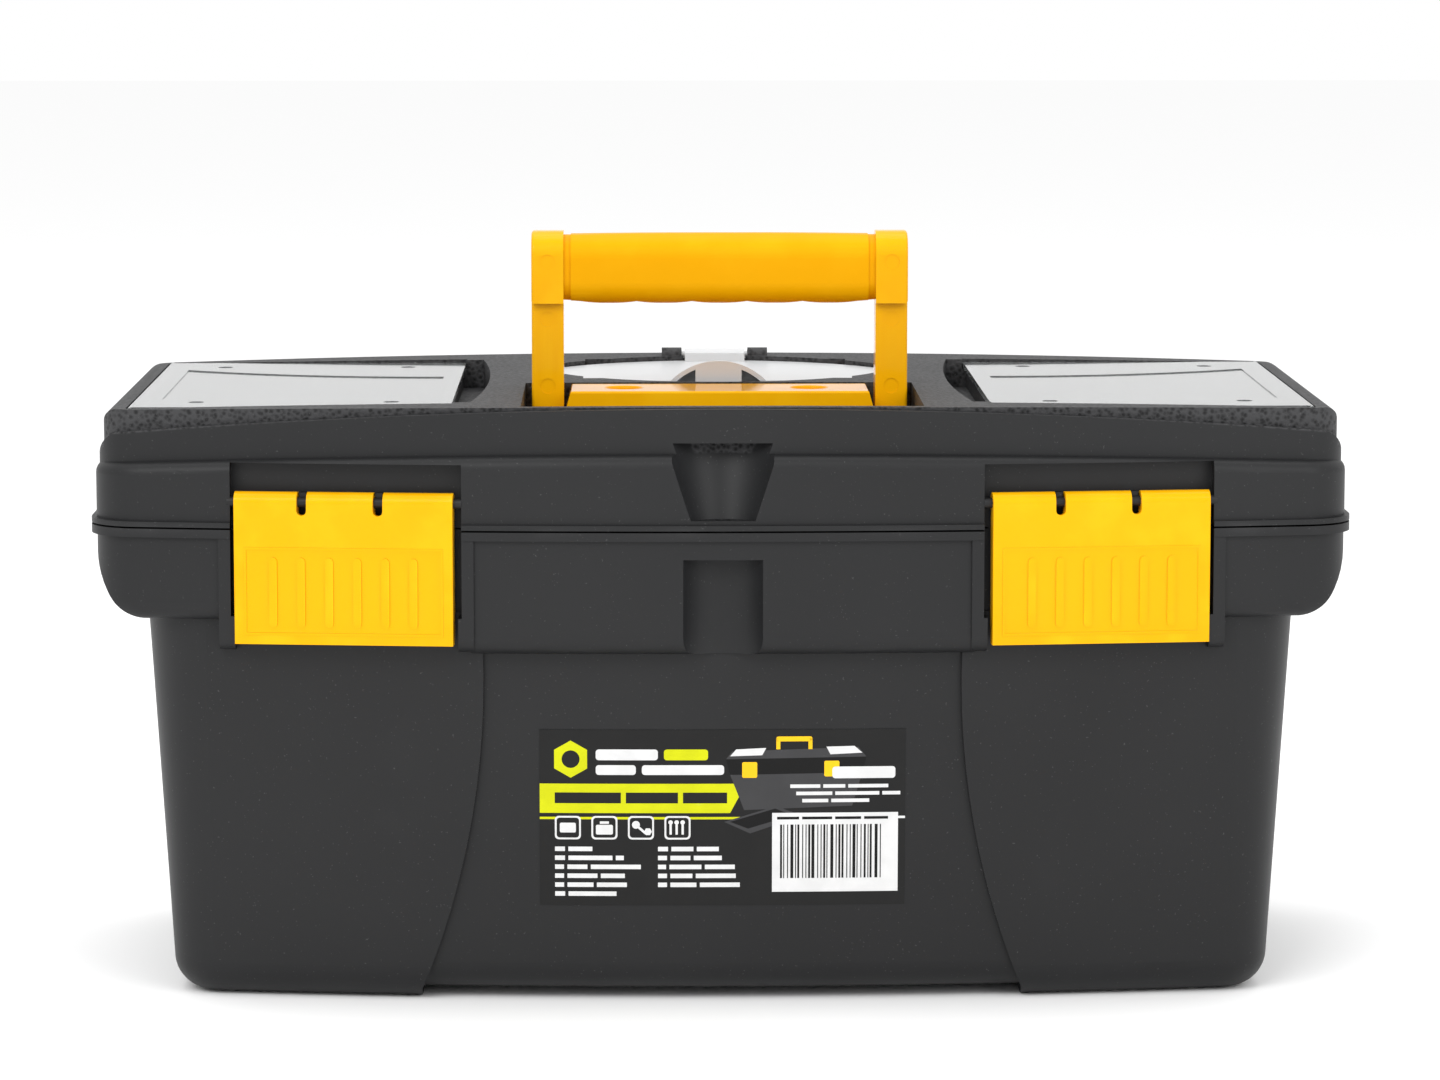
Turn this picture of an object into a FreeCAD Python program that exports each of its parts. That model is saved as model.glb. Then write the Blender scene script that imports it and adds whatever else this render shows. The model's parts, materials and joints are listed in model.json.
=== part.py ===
import FreeCAD, Part
import math
import os
import re
import Sketcher

# Toolbox with tray: a black bowed case with a hinged lid, two latches, a folding handle,
# clear organizer lids and a lift-out tray. X runs along the case, Y from front to back, Z up.
# The origin is the centre of the case's footprint, at the level it stands on. Millimetres.

V = FreeCAD.Vector
doc = FreeCAD.newDocument("toolbox")
sheet = doc.addObject("Spreadsheet::Sheet", "Sizes")

SIZES = {
    # case outline
    "lip_half_x": 205.5,
    "lip_y": 107.5,
    "bow_radius": 1200,
    "plan_corner": 18,
    "wall": 2.4,
    "rear_face_y": 106,
    # lower bin
    "bin_top_z": 130,
    "bin_half_x": 188.4,
    "bin_y": 99.8,
    "bin_corner": 24,
    "bin_draft": 3.5,
    "bin_foot_round": 12,
    "panel_depth": 1.8,
    "panel_floor_z": 3.2,
    "panel_top_x": 77.6,
    "panel_foot_x": 98.5,
    "panel_curve": 274,
    # belt and rim of the body
    "belt_half_x": 203.8,
    "belt_y": 106,
    "belt_bottom_z": 126.6,
    "belt_mid_bottom_z": 116.5,
    "belt_round": 6,
    "belt_end_wide": 16.5,
    "belt_end_high": 25.5,
    "rim_bottom_z": 153.9,
    "rim_top_z": 156.7,
    "ledge_z": 129.2,
    "post_in": 80.2,
    "post_out": 162.8,
    "post_wide": 3.9,
    "post_thick": 1.2,
    "post_thick_z": 128.6,
    "post_bottom_z": 117,
    "recess_in": 84.1,
    "recess_out": 158.9,
    "recess_y": 99,
    # padlock eye
    "scoop_radius": 14.2,
    "scoop_y": -112,
    "scoop_top_z": 147.8,
    "eye_radius": 2.5,
    "eye_y": -102.6,
    "notch_y": -110.9,
    "notch_low": 11.5,
    "notch_high": 19,
    "notch_floor_z": 160.4,
    "notch_top_z": 185,
    "skin": 2.2,
    # rear hinge
    "hinge_y": 106.5,
    "hinge_z": 157,
    "hinge_x": 110,
    "barrel": 3.8,
    "pin_radius": 1.6,
    "pin_fit": 0.06,
    "knuckle_half": 5.5,
    "ear_in": 5.9,
    "ear_out": 13.9,
    "swing_gap": 0.35,
    # lid
    "lid_bottom_z": 157.3,
    "lid_flange_top_z": 159,
    "band_half_x": 204,
    "band_top_z": 181.5,
    "band_end_z": 177.5,
    "band_round": 4,
    "shoulder_half_x": 203,
    "shoulder_y": 101,
    "shoulder_top_z": 196,
    "shoulder_end_z": 187.3,
    "shoulder_end_x": 194,
    "shoulder_side_z": 178.3,
    "plateau_half_x": 201.5,
    "plateau_y": 98,
    "plateau_back_y": 100.5,
    "plateau_top_z": 196.3,
    "plateau_end_z": 194.3,
    "plateau_end_x": 196.5,
    "plateau_side_z": 189.3,
    "lid_recess_y": 100,
    "lid_recess_top_z": 178.3,
    "roof_z": 192.2,
    # latches
    "latch_x": 121.9,
    "latch_y": -97.8,
    "latch_z": 165.7,
    "latch_tilt": 5.83,
    "latch_half": 35.5,
    "latch_knuckle": 3.4,
    "latch_drop": 45.9,
    "latch_thick": 2.4,
    "latch_side": 2,
    "latch_side_y": 2,
    "rod_radius": 1.7,
    "rod_fit": 0.08,
    "slot_low": -13.5,
    "slot_high": 11.3,
    "slot_wide": 3.2,
    "slot_deep": 7.4,
    "rib_first": -22.8,
    "rib_pitch": 9.13,
    "rib_wide": 2.7,
    "rib_top": 17.6,
    "rib_bottom": 40.3,
    "rib_raise": 0.5,
    "frame_top": 14.4,
    "frame_bottom": 43,
    "frame_inset": 3.1,
    "catch_half": 30,
    "catch_low_z": 141,
    "catch_high_z": 145,
    "catch_tip": 1.4,
    "hook_low": 29.2,
    "hook_high": 25.2,
    "hook_tip": 1.2,
    # handle
    "handle_y": -26,
    "handle_z": 186,
    "arm_in": 52,
    "arm_out": 62.7,
    "leg_half": 6.5,
    "head_half": 9.6,
    "head_z": 225.3,
    "head_round": 8,
    "arm_top_z": 248.6,
    "mark_radius": 2.5,
    "mark_deep": 0.35,
    "grip_end": 52,
    "grip_top_z": 247.8,
    "grip_end_z": 225.8,
    "grip_low_z": 224.5,
    "grip_cusp_z": 225.3,
    "grip_lobe": 9.2,
    "grip_under_round": 7,
    "grip_over_round": 8,
    "grip_crown": 2600,
    "collar_in": 49.6,
    "collar_out": 52.5,
    "collar_depth": 0.6,
    "pivot_radius": 3,
    "pivot_fit": 0.08,
    "pivot_tip": 60,
    "bar_half": 51.5,
    "bar_back_y": -12.5,
    "bar_front_y": -40,
    "bar_top_z": 195.9,
    "bar_top_half": 49.6,
    "dish_left": -32,
    "dish_right": 30,
    "dish_radius": 6,
    "dish_deep": 3,
    "bore_deep": 10,
    "bar_edge": 0.8,
    "well_half": 65.2,
    "well_front_y": -92,
    "well_back_y": -11.5,
    "well_floor_z": 175,
    # organizer pockets and their clear lids
    "clear_in": 88.2,
    "clear_hinge_x": 192.3,
    "clear_hinge_z": 193.7,
    "clear_half_y": 78.5,
    "clear_gap": 0.4,
    "clear_pin": 1,
    "clear_pin_fit": 0.1,
    "sunk_deep": 0.35,
    "sunk_in": 6,
    "sunk_out": 8,
    "sunk_narrow_y": 26,
    "sunk_wide_y": 52,
    "sunk_curve": 160,
    "dot_near": 20,
    "dot_far": 84,
    "dot_y": 62,
    "dot_radius": 2.6,
    "dot_deep": 0.25,
    "pocket_in": 92,
    "pocket_out": 189.6,
    "pocket_y": 74,
    "pocket_floor_z": 164,
    "finger_x": 77.7,
    "finger_curve": 690,
    "finger_half": 76,
    "finger_floor_z": 186,
    # oval lid behind the handle
    "oval_front_y": -10.2,
    "oval_front_curve": 59.2,
    "oval_back_y": 87,
    "oval_back_curve": 67.5,
    "oval_half": 58,
    "oval_gap": 0.5,
    "oval_pocket_half": 46,
    "oval_pocket_front_y": 4,
    "oval_pocket_back_y": 76,
    "oval_pocket_floor_z": 170,
    "tab_half": 10.6,
    "tab_y": 90.6,
    "tab_z": 196.4,
    "tab_radius": 2.2,
    "tab_ear": 7,
    "tab_ear_gap": 1.2,
    "dome_radius": 22.9,
    "dome_z": 180.1,
    "dome_y": -6.8,
    "dome_skin": 1.5,
    "tongue_half": 7.8,
    # tray
    "tray_half_x": 181,
    "tray_y": 92,
    "tray_corner": 14,
    "tray_base_z": 100,
    "tray_top_z": 147,
    "tray_wall": 2,
    "tray_flange_z": 129.5,
    "tray_flange_top_z": 131.7,
    "tray_flange_half_x": 183.5,
    "tray_flange_y": 100.6,
    "tray_divider_x": 92,
    # label
    "label_half": 59.5,
    "label_low_z": 32.4,
    "label_high_z": 91,
    "label_thick": 0.2,
}

for row, (alias, value) in enumerate(SIZES.items(), 1):
    sheet.set(f"A{row}", str(value))
    sheet.setAlias(f"A{row}", alias)
doc.recompute()

gauge = doc.addObject("Part::Vertex", "gauge")


def sized(text):
    """Expression text with the sheet named before each of its sizes."""
    return re.sub(r"[a-z]\w*", lambda m: "Sizes." + m.group() if m.group() in SIZES else m.group(),
                  str(text))


def number(text):
    gauge.setExpression("X", sized(text))
    gauge.recompute()
    return gauge.X.Value


def bind(item, **properties):
    for name, text in properties.items():
        item.setExpression(name, sized(text))
    return item


def place(item, x, y, z, turn=None):
    if turn is not None:
        item.Placement = FreeCAD.Placement(V(0, 0, 0), turn)
    item.setExpression("Placement.Base.x", sized(x))
    item.setExpression("Placement.Base.y", sized(y))
    item.setExpression("Placement.Base.z", sized(z))
    return item


ALONG_X = FreeCAD.Rotation(V(0, 1, 0), 90)
ALONG_Y = FreeCAD.Rotation(V(1, 0, 0), -90)
FACE_ON = FreeCAD.Rotation(V(1, 0, 0), 90)
END_ON = FreeCAD.Rotation(V(0, 1, 0), V(0, 0, 1), V(1, 0, 0), "ZXY")


def box(name, x0, x1, y0, y1, z0, z1):
    item = doc.addObject("Part::Box", name)
    bind(item, Length=f"({x1}) - ({x0})", Width=f"({y1}) - ({y0})", Height=f"({z1}) - ({z0})")
    return place(item, x0, y0, z0)


def rod(name, radius, length, x, y, z, turn=None):
    item = doc.addObject("Part::Cylinder", name)
    bind(item, Radius=radius, Height=length)
    return place(item, x, y, z, turn)


def cone(name, low, high, length, x, y, z):
    item = doc.addObject("Part::Cone", name)
    bind(item, Radius1=low, Radius2=high, Height=length)
    return place(item, x, y, z)


def fuse(name, *pieces):
    item = doc.addObject("Part::MultiFuse", name)
    item.Shapes = list(pieces)
    item.Refine = True
    return item


def common(name, *pieces):
    item = doc.addObject("Part::MultiCommon", name)
    item.Shapes = list(pieces)
    item.Refine = True
    return item


def cut(name, base, *tools):
    item = doc.addObject("Part::Cut", name)
    item.Base = base
    item.Tool = tools[0] if len(tools) == 1 else fuse(name + "_tools", *tools)
    item.Refine = True
    return item


def mirrored(name, source, normal=V(1, 0, 0)):
    item = doc.addObject("Part::Mirroring", name)
    item.Source = source
    item.Normal = normal
    return item


def both(name, source):
    """A piece together with its mirror image about the plane X = 0."""
    return fuse(name, source, mirrored(name + "_mirror", source))


def rounded(name, base, radius, wanted):
    """The base with a fillet on every edge that the test picks."""
    doc.recompute()
    item = doc.addObject("Part::Fillet", name)
    item.Base = base
    size = number(radius)
    item.Edges = [(i, size, size) for i, edge in enumerate(base.Shape.Edges, 1) if wanted(edge)]
    return item


def prism(name, sketch, direction, length, taper="0"):
    item = doc.addObject("Part::Extrusion", name)
    item.Base = sketch
    item.DirMode = "Custom"
    item.Dir = direction
    item.Solid = True
    return bind(item, LengthFwd=length, TaperAngle=taper)


def dimension(sketch, kind, *spots, text):
    row = sketch.addConstraint(Sketcher.Constraint(kind, *spots, number(text)))
    sketch.setExpression(f"Constraints[{row}]", sized(text))


def bowed_sketch(name, half_x, front, back, corner):
    """Plan outline: straight ends, bowed front and back, and four round corners."""
    sketch = doc.addObject("Sketcher::SketchObject", name)
    bow, end, radius = number("bow_radius"), number(half_x), number(corner)
    side = end - radius
    reach = math.sqrt((bow - radius) ** 2 - side ** 2)
    centre_low = V(0, bow - number(front), 0)
    centre_high = V(0, number(back) - bow, 0)
    low, high = centre_low.y - reach, centre_high.y + reach
    lean = math.atan2(side, reach)
    quarter = math.pi / 2
    up = V(0, 0, 1)

    def arc(centre, size, start, finish):
        sketch.addGeometry(Part.ArcOfCircle(Part.Circle(centre, up, size), start, finish))

    arc(centre_low, bow, -quarter - lean, -quarter + lean)
    arc(V(side, low, 0), radius, -quarter + lean, 0)
    sketch.addGeometry(Part.LineSegment(V(end, low, 0), V(end, high, 0)))
    arc(V(side, high, 0), radius, 0, quarter - lean)
    arc(centre_high, bow, quarter - lean, quarter + lean)
    arc(V(-side, high, 0), radius, quarter + lean, math.pi)
    sketch.addGeometry(Part.LineSegment(V(-end, high, 0), V(-end, low, 0)))
    arc(V(-side, low, 0), radius, -math.pi, -quarter - lean)
    for i in range(8):
        sketch.addConstraint(Sketcher.Constraint("Tangent", i, 2, (i + 1) % 8, 1))
    for i in (2, 6):
        sketch.addConstraint(Sketcher.Constraint("Vertical", i))
    for i, level in ((0, f"bow_radius - ({front})"), (4, f"({back}) - bow_radius")):
        sketch.addConstraint(Sketcher.Constraint("PointOnObject", i, 3, -2))
        dimension(sketch, "DistanceY", -1, 1, i, 3, text=level)
        dimension(sketch, "Radius", i, text="bow_radius")
    for i in (1, 3, 5, 7):
        dimension(sketch, "Radius", i, text=corner)
    dimension(sketch, "DistanceX", -1, 1, 2, 1, text=half_x)
    dimension(sketch, "DistanceX", -1, 1, 6, 1, text=f"-({half_x})")
    return sketch


def bowed(name, half_x, front, back, corner, z0, z1):
    """Upright block with the bowed plan outline."""
    sketch = bowed_sketch(name + "_plan", half_x, front, back, corner)
    place(sketch, 0, 0, z0)
    return prism(name, sketch, V(0, 0, 1), f"({z1}) - ({z0})")


def outline(sketch, points, arcs=()):
    """Closed outline through the points. An arc entry gives the side it starts from,
    its radius and +1 or -1 for a centre on the left or right of the way travelled."""
    spots = [V(number(x), number(y), 0) for x, y in points]
    arcs = {start: (radius, turn) for start, radius, turn in arcs}
    count = len(spots)
    ends = []
    for i, start in enumerate(spots):
        finish = spots[(i + 1) % count]
        if i not in arcs:
            sketch.addGeometry(Part.LineSegment(start, finish))
            ends.append((1, 2))
            continue
        radius, turn = number(arcs[i][0]), arcs[i][1]
        chord = finish - start
        left = V(-chord.y, chord.x, 0).normalize()
        middle = (start + finish) * 0.5
        centre = middle + left * (turn * math.sqrt(radius ** 2 - chord.Length ** 2 / 4))
        first, last = (start, finish) if turn > 0 else (finish, start)
        angles = [math.atan2(p.y - centre.y, p.x - centre.x) for p in (first, last)]
        sketch.addGeometry(Part.ArcOfCircle(Part.Circle(centre, V(0, 0, 1), radius), *angles))
        ends.append((1, 2) if turn > 0 else (2, 1))
    for i in range(count):
        j = (i + 1) % count
        sketch.addConstraint(Sketcher.Constraint("Coincident", i, ends[i][1], j, ends[j][0]))
    for i, (x, y) in enumerate(points):
        dimension(sketch, "DistanceX", -1, 1, i, ends[i][0], text=x)
        dimension(sketch, "DistanceY", -1, 1, i, ends[i][0], text=y)
        if i in arcs:
            dimension(sketch, "Radius", i, text=arcs[i][0])
    return sketch


def front_profile(name, points, arcs=(), y0="-120", y1="120"):
    """A front-view outline carried through from y1 to y0."""
    sketch = doc.addObject("Sketcher::SketchObject", name + "_front")
    place(sketch, 0, y1, 0, FACE_ON)
    outline(sketch, points, arcs)
    return prism(name, sketch, V(0, -1, 0), f"({y1}) - ({y0})")


def plan_profile(name, points, arcs, z0, z1):
    sketch = doc.addObject("Sketcher::SketchObject", name + "_plan")
    place(sketch, 0, 0, z0)
    outline(sketch, points, arcs)
    return prism(name, sketch, V(0, 0, 1), f"({z1}) - ({z0})")


def body(name):
    return doc.addObject("PartDesign::Body", name)


def plane_sketch(owner, role, name, points=None, arcs=(), shift="0"):
    sketch = owner.newObject("Sketcher::SketchObject", name)
    plane = [item for item in owner.Origin.OriginFeatures if item.Role == role][0]
    sketch.AttachmentSupport = [(plane, "")]
    sketch.MapMode = "FlatFace"
    sketch.setExpression("AttachmentOffset.Base.z", sized(shift))
    if points:
        outline(sketch, points, arcs)
    return sketch


def circles(sketch, spots, radius):
    for x, y in spots:
        i = sketch.addGeometry(Part.Circle(V(number(x), number(y), 0), V(0, 0, 1), number(radius)))
        dimension(sketch, "DistanceX", -1, 1, i, 3, text=x)
        dimension(sketch, "DistanceY", -1, 1, i, 3, text=y)
        dimension(sketch, "Radius", i, text=radius)
    return sketch


def feature(owner, kind, name, sketch, length, reverse=False, middle=False):
    item = owner.newObject("PartDesign::" + kind, name)
    item.Profile = sketch
    item.Reversed = reverse
    item.Midplane = middle
    bind(item, Length=length)
    return item


def soften(owner, name, base, radius, wanted):
    doc.recompute()
    item = owner.newObject("PartDesign::Fillet", name)
    item.Base = (base, [f"Edge{i}" for i, edge in enumerate(base.Shape.Edges, 1) if wanted(edge)])
    return bind(item, Radius=radius)


def is_level(edge, z):
    return abs(edge.BoundBox.ZMin - z) < 0.01 and abs(edge.BoundBox.ZMax - z) < 0.01


# ---------------------------------------------------------------- body shell
def bin_block(name, inset, floor_z):
    """The drafted bin set in evenly by the inset, with its bottom edge rounded."""
    sketch = bowed_sketch(name + "_plan", f"bin_half_x - ({inset})", f"bin_y - ({inset})",
                          f"bin_y - ({inset})", f"bin_corner - ({inset})")
    place(sketch, 0, 0, "bin_top_z")
    block = prism(name + "_block", sketch, V(0, 0, -1), f"bin_top_z - ({floor_z})", "-bin_draft")
    level = number(floor_z)
    return rounded(name, block, f"bin_foot_round - ({inset})", lambda e: is_level(e, level))


def panel_prism(name, inset):
    """Front-view outline of the set-in centre panel, moved sideways by the inset."""
    top, foot = f"panel_top_x + ({inset})", f"panel_foot_x + ({inset})"
    points = [(f"-({foot})", "-5"), (foot, "-5"), (foot, "panel_floor_z"), (top, "belt_mid_bottom_z"),
              (top, "bin_top_z + 5"), (f"-({top})", "bin_top_z + 5"), (f"-({top})", "belt_mid_bottom_z"),
              (f"-({foot})", "panel_floor_z")]
    arcs = [(2, "panel_curve", -1), (6, "panel_curve", -1)]
    return front_profile(name, points, arcs)


bin_outer = bin_block("bin_outer", "0", "0")
bin_panel = bin_block("bin_panel", "panel_depth", "panel_floor_z")
bin_ends = cut("bin_ends", bin_outer, panel_prism("panel_zone", "0"))

END_RISE = "belt_bottom_z + belt_end_high"


def end_profile(name, half_x, low_z, inset, top_z):
    """Front-view outline with a quarter-ellipse end, as two arcs on each side."""
    flat_x = "belt_half_x - belt_end_wide"
    mid_x = f"belt_half_x - belt_end_wide + (belt_end_wide - ({inset})) * 0.757"
    mid_z = f"{END_RISE} - (belt_end_high - ({inset})) * 0.654"
    rise = END_RISE
    points = [(f"-({flat_x})", low_z), (flat_x, low_z), (mid_x, mid_z), (half_x, rise), (half_x, top_z),
              (f"-({half_x})", top_z), (f"-({half_x})", rise), (f"-({mid_x})", mid_z)]
    arcs = [(1, "belt_end_wide", 1), (2, "belt_end_high * 1.22", 1),
            (6, "belt_end_high * 1.22", 1), (7, "belt_end_wide", 1)]
    return front_profile(name, points, arcs)


belt_raw = bowed("belt_raw", "belt_half_x", "belt_y", "belt_y", "plan_corner", "belt_bottom_z", "rim_top_z")
belt_low = number("belt_bottom_z")
belt_soft = rounded("belt_soft", belt_raw, "belt_round", lambda e: is_level(e, belt_low))
belt = common("belt", belt_soft, end_profile("belt_ends", "belt_half_x", "belt_bottom_z", "0",
                                             "rim_top_z + 1"))
rim = bowed("rim", "lip_half_x", "lip_y", "rear_face_y", "plan_corner", "rim_bottom_z", "rim_top_z")


def skirt(name, x0, x1, front, low_z, round_size):
    """Part of the belt between two X planes that hangs down to a lower level."""
    block = bowed(name + "_block", "belt_half_x", front, "belt_y", "plan_corner", low_z, "rim_top_z")
    level = number(low_z)
    soft = rounded(name + "_soft", block, round_size, lambda e: is_level(e, level))
    return common(name, soft, box(name + "_span", x0, x1, "-lip_y - 5", "-60", low_z, "rim_top_z"))


middle_skirt = skirt("middle_skirt", "-post_in - 1", "post_in + 1", "belt_y", "belt_mid_bottom_z",
                     "belt_round")
post_in = skirt("post_inner", "post_in", "post_in + post_wide", "belt_y + 1", "post_bottom_z", "belt_round")
post_out = skirt("post_outer", "post_out - post_wide", "post_out", "belt_y + 1", "post_bottom_z",
                 "belt_round")
pads = []
for tag, x0, x1 in (("in", "post_in", "post_in + post_wide + post_thick"),
                    ("out", "post_out - post_wide - post_thick", "post_out")):
    tall = skirt("pad_" + tag, x0, x1, "belt_y + 1", "post_bottom_z", "belt_round")
    pads.append(common("foot_" + tag, tall, box("foot_span_" + tag, x0, x1, "-lip_y - 5", "-60",
                                                "post_bottom_z", "post_thick_z")))

recess_zone = box("recess_zone", "recess_in", "recess_out", "-lip_y - 5", "-60", "belt_mid_bottom_z - 5",
                  "rim_top_z + 1")
recess_wall = bowed("recess_wall", "belt_half_x", "recess_y", "0", "plan_corner", "belt_mid_bottom_z - 6",
                    "rim_top_z + 2")
recess = cut("recess", recess_zone, recess_wall)
upper = cut("upper", fuse("upper_solid", belt, rim, middle_skirt), both("recesses", recess))
posts = both("posts", fuse("posts_right", post_in, post_out, *pads))
trimmed_posts = common("posts_trimmed", posts, bowed("posts_limit", "lip_half_x", "lip_y", "rear_face_y",
                                                     "plan_corner",
                                                      "post_bottom_z - 2", "rim_top_z"))
scoop_boss = common("scoop_boss", rod("scoop_boss_rod", "scoop_radius + skin",
                                      "rim_top_z - belt_mid_bottom_z", "0",
                                      "scoop_y", "belt_mid_bottom_z"), middle_skirt)

# Hollow: the belt's space, the latch walls set back, and the bin's space below.
space_raw = bowed("space_raw", "belt_half_x - wall", "belt_y - wall", "belt_y - wall", "plan_corner - wall",
                  "ledge_z", "rim_top_z + 3")
space_ends = end_profile("space_ends", "belt_half_x - wall", "ledge_z", "wall", "rim_top_z + 4")
space_front = common("space_front", space_raw, space_ends)
latch_blocks = both("latch_blocks", box("latch_block", "recess_in - wall", "recess_out + wall",
                                        "-lip_y - 5", "-80", "ledge_z - 1", "rim_top_z + 4"))
space_back = common("space_back", bowed("space_inner", "belt_half_x - wall", "recess_y - wall",
                                        "belt_y - wall",
                                        "plan_corner - wall", "ledge_z", "rim_top_z + 3"), space_ends)
belt_space = fuse("belt_space", cut("space_open", space_front, latch_blocks), space_back)
end_space = cut("end_space", bin_block("bin_inner", "wall", "wall"), panel_prism("panel_inner", "wall"))
mid_space = bin_block("bin_mid_inner", "wall + panel_depth", "wall + panel_floor_z")
low_space = fuse("low_space", end_space, mid_space,
                 bowed("throat", "bin_half_x - wall", "bin_y - wall - panel_depth",
                       "bin_y - wall - panel_depth",
                       "bin_corner - wall", "bin_top_z - 0.5", "bin_top_z + 1"))
hollow = cut("hollow", fuse("hollow_all", belt_space, low_space), scoop_boss)

scoop = rod("scoop", "scoop_radius", "scoop_top_z - belt_mid_bottom_z + 8", "0", "scoop_y",
            "belt_mid_bottom_z - 8")
eye_body = rod("eye_body", "eye_radius", "rim_top_z - scoop_top_z + 4", "0", "eye_y", "scoop_top_z - 2")


def hinge_barrel(name, x0, x1, radius):
    return rod(name, radius, f"({x1}) - ({x0})", x0, "hinge_y", "hinge_z", ALONG_X)


def hinge_ear(tag, x0, x1):
    web = front_profile("ear_web_" + tag, [(x0, "hinge_z - 14"), (x1, "hinge_z - 14"), (x1,
                                                                                        "hinge_z - 0.4"),
                                           (x0, "hinge_z - 0.4")], (), "hinge_y - 10",
                        "hinge_y + barrel * 0.5")
    return fuse("ear_" + tag, hinge_barrel("ear_barrel_" + tag, x0, x1, "barrel"), web)


ears = both("ears", fuse("ears_right", hinge_ear("near", "hinge_x - ear_out", "hinge_x - ear_in"),
                         hinge_ear("far", "hinge_x + ear_in", "hinge_x + ear_out")))
swing_body = both("swing_body", hinge_barrel("swing_body_right", "hinge_x - ear_in", "hinge_x + ear_in",
                                             "barrel + swing_gap"))
pin_holes = both("pin_holes", hinge_barrel("pin_hole", "hinge_x - ear_out - 1", "hinge_x + ear_out + 1",
                                           "pin_radius"))


def latch_turn(item, side, spin=None):
    """Sets a piece drawn about the latch pivot into place on one side of the case."""
    turn = FreeCAD.Rotation(V(0, 0, 1), side * number("latch_tilt"))
    return place(item, f"{side} * latch_x", "latch_y", "latch_z",
                 turn if spin is None else turn.multiply(spin))


def latch_box(name, side, x0, x1, y0, y1, z0, z1):
    """A block given about the latch pivot."""
    item = box(name, x0, x1, y0, y1, z0, z1)
    base = doc.addObject("Part::Compound", name + "_set")
    base.Links = [item]
    return latch_turn(base, side)


catches = [latch_box(f"catch_{tag}", side, "-catch_half", "catch_half", "catch_tip", "6.5",
                     "catch_low_z - latch_z",
                     "catch_high_z - latch_z") for tag, side in (("left", -1), ("right", 1))]

body_solid = fuse("body_solid", bin_ends, bin_panel, upper, trimmed_posts, scoop_boss, ears)
body_open = cut("body_open", body_solid, hollow, scoop, eye_body, swing_body, pin_holes)
inner_catches = [cut(f"catch_cut_{i}", item, hollow) for i, item in enumerate(catches)]
body_shell = fuse("body_shell", body_open, *inner_catches)

# ---------------------------------------------------------------- lid shell
lid_flange = bowed("lid_flange", "lip_half_x", "lip_y", "rear_face_y", "plan_corner", "lid_bottom_z",
                   "lid_flange_top_z")


def crowned(name, end_x, side_x, side_z, shoulder_z, middle_z, corner):
    """Front-view outline with a crowned top and rounded top corners."""
    rise = f"(({middle_z}) - ({shoulder_z}))"
    crown = f"(({end_x})^2 + {rise}^2) / (2 * {rise})"
    points = [(f"-({side_x})", "lid_bottom_z"), (side_x, "lid_bottom_z"), (side_x, side_z),
              (end_x, shoulder_z), (f"-({end_x})", shoulder_z), (f"-({side_x})", side_z)]
    arcs = [(3, crown, 1)]
    if corner:
        arcs += [(2, corner, 1), (4, corner, 1)]
    return front_profile(name, points, arcs)


band_block = common("band_block", bowed("band_raw", "band_half_x", "belt_y", "rear_face_y", "plan_corner",
                                        "lid_bottom_z", "band_top_z + 2"),
                    crowned("band_top", "band_half_x - 3", "band_half_x + 2", "band_end_z - 0.3",
                            "band_end_z - 0.2", "band_top_z", None))
band_edge_z = number("band_end_z") - 1
band_edge_y = 80


def is_band_rim(edge):
    """Long edges round the top of the band, at its front, back and ends."""
    span = edge.BoundBox
    outside = max(abs(span.YMin), abs(span.YMax)) > band_edge_y
    return span.ZMin > band_edge_z and edge.Length > 5 and outside


band = rounded("band", band_block, "band_round", is_band_rim)
shoulder_block = common("shoulder_block",
                        bowed("shoulder_raw", "shoulder_half_x", "shoulder_y", "shoulder_y",
                              "plan_corner - 3", "lid_bottom_z", "shoulder_top_z + 2"),
                        crowned("shoulder_top", "shoulder_end_x", "shoulder_half_x", "shoulder_side_z",
                                "shoulder_end_z", "shoulder_top_z", "9.2"))
plateau_block = common("plateau_block",
                       bowed("plateau_raw", "plateau_half_x", "plateau_y", "plateau_back_y",
                             "plan_corner - 6", "lid_bottom_z", "plateau_top_z + 2"),
                       crowned("plateau_top", "plateau_end_x", "plateau_half_x", "plateau_side_z",
                               "plateau_end_z", "plateau_top_z", "5.2"))
lid_solid = fuse("lid_solid", lid_flange, band, shoulder_block, plateau_block)

lid_space = fuse(
    "lid_space",
    bowed("band_space", "band_half_x - wall", "belt_y - wall", "rear_face_y - wall", "plan_corner - wall",
          "lid_bottom_z - 3", "band_end_z - wall"),
    bowed("shoulder_space", "shoulder_half_x - wall - 1.5", "shoulder_y - wall - 0.2",
          "shoulder_y - wall - 0.2", "plan_corner - 5", "lid_bottom_z", "shoulder_end_z - 3.6"),
    bowed("plateau_space", "plateau_half_x - wall", "plateau_y - wall - 0.4", "plateau_back_y - wall - 0.4",
          "plan_corner - 8", "lid_bottom_z", "shoulder_end_z + 1"),
    bowed("roof_space", "plateau_half_x - wall - 3.4", "plateau_y - wall - 2.4",
          "plateau_back_y - wall - 2.4", "plan_corner - 10", "lid_bottom_z", "roof_z"))

TOP = "plateau_top_z + 4"


def basin(name, x0, x1, y0, y1, floor_z):
    """A box-shaped pocket and the solid block that leaves a wall of the skin thickness round it."""
    hole = box(name + "_hole", x0, x1, y0, y1, floor_z, TOP)
    block = box(name + "_wall", f"{x0} - skin", f"{x1} + skin", f"{y0} - skin", f"{y1} + skin",
                f"({floor_z}) - skin", TOP)
    return hole, block


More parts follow.
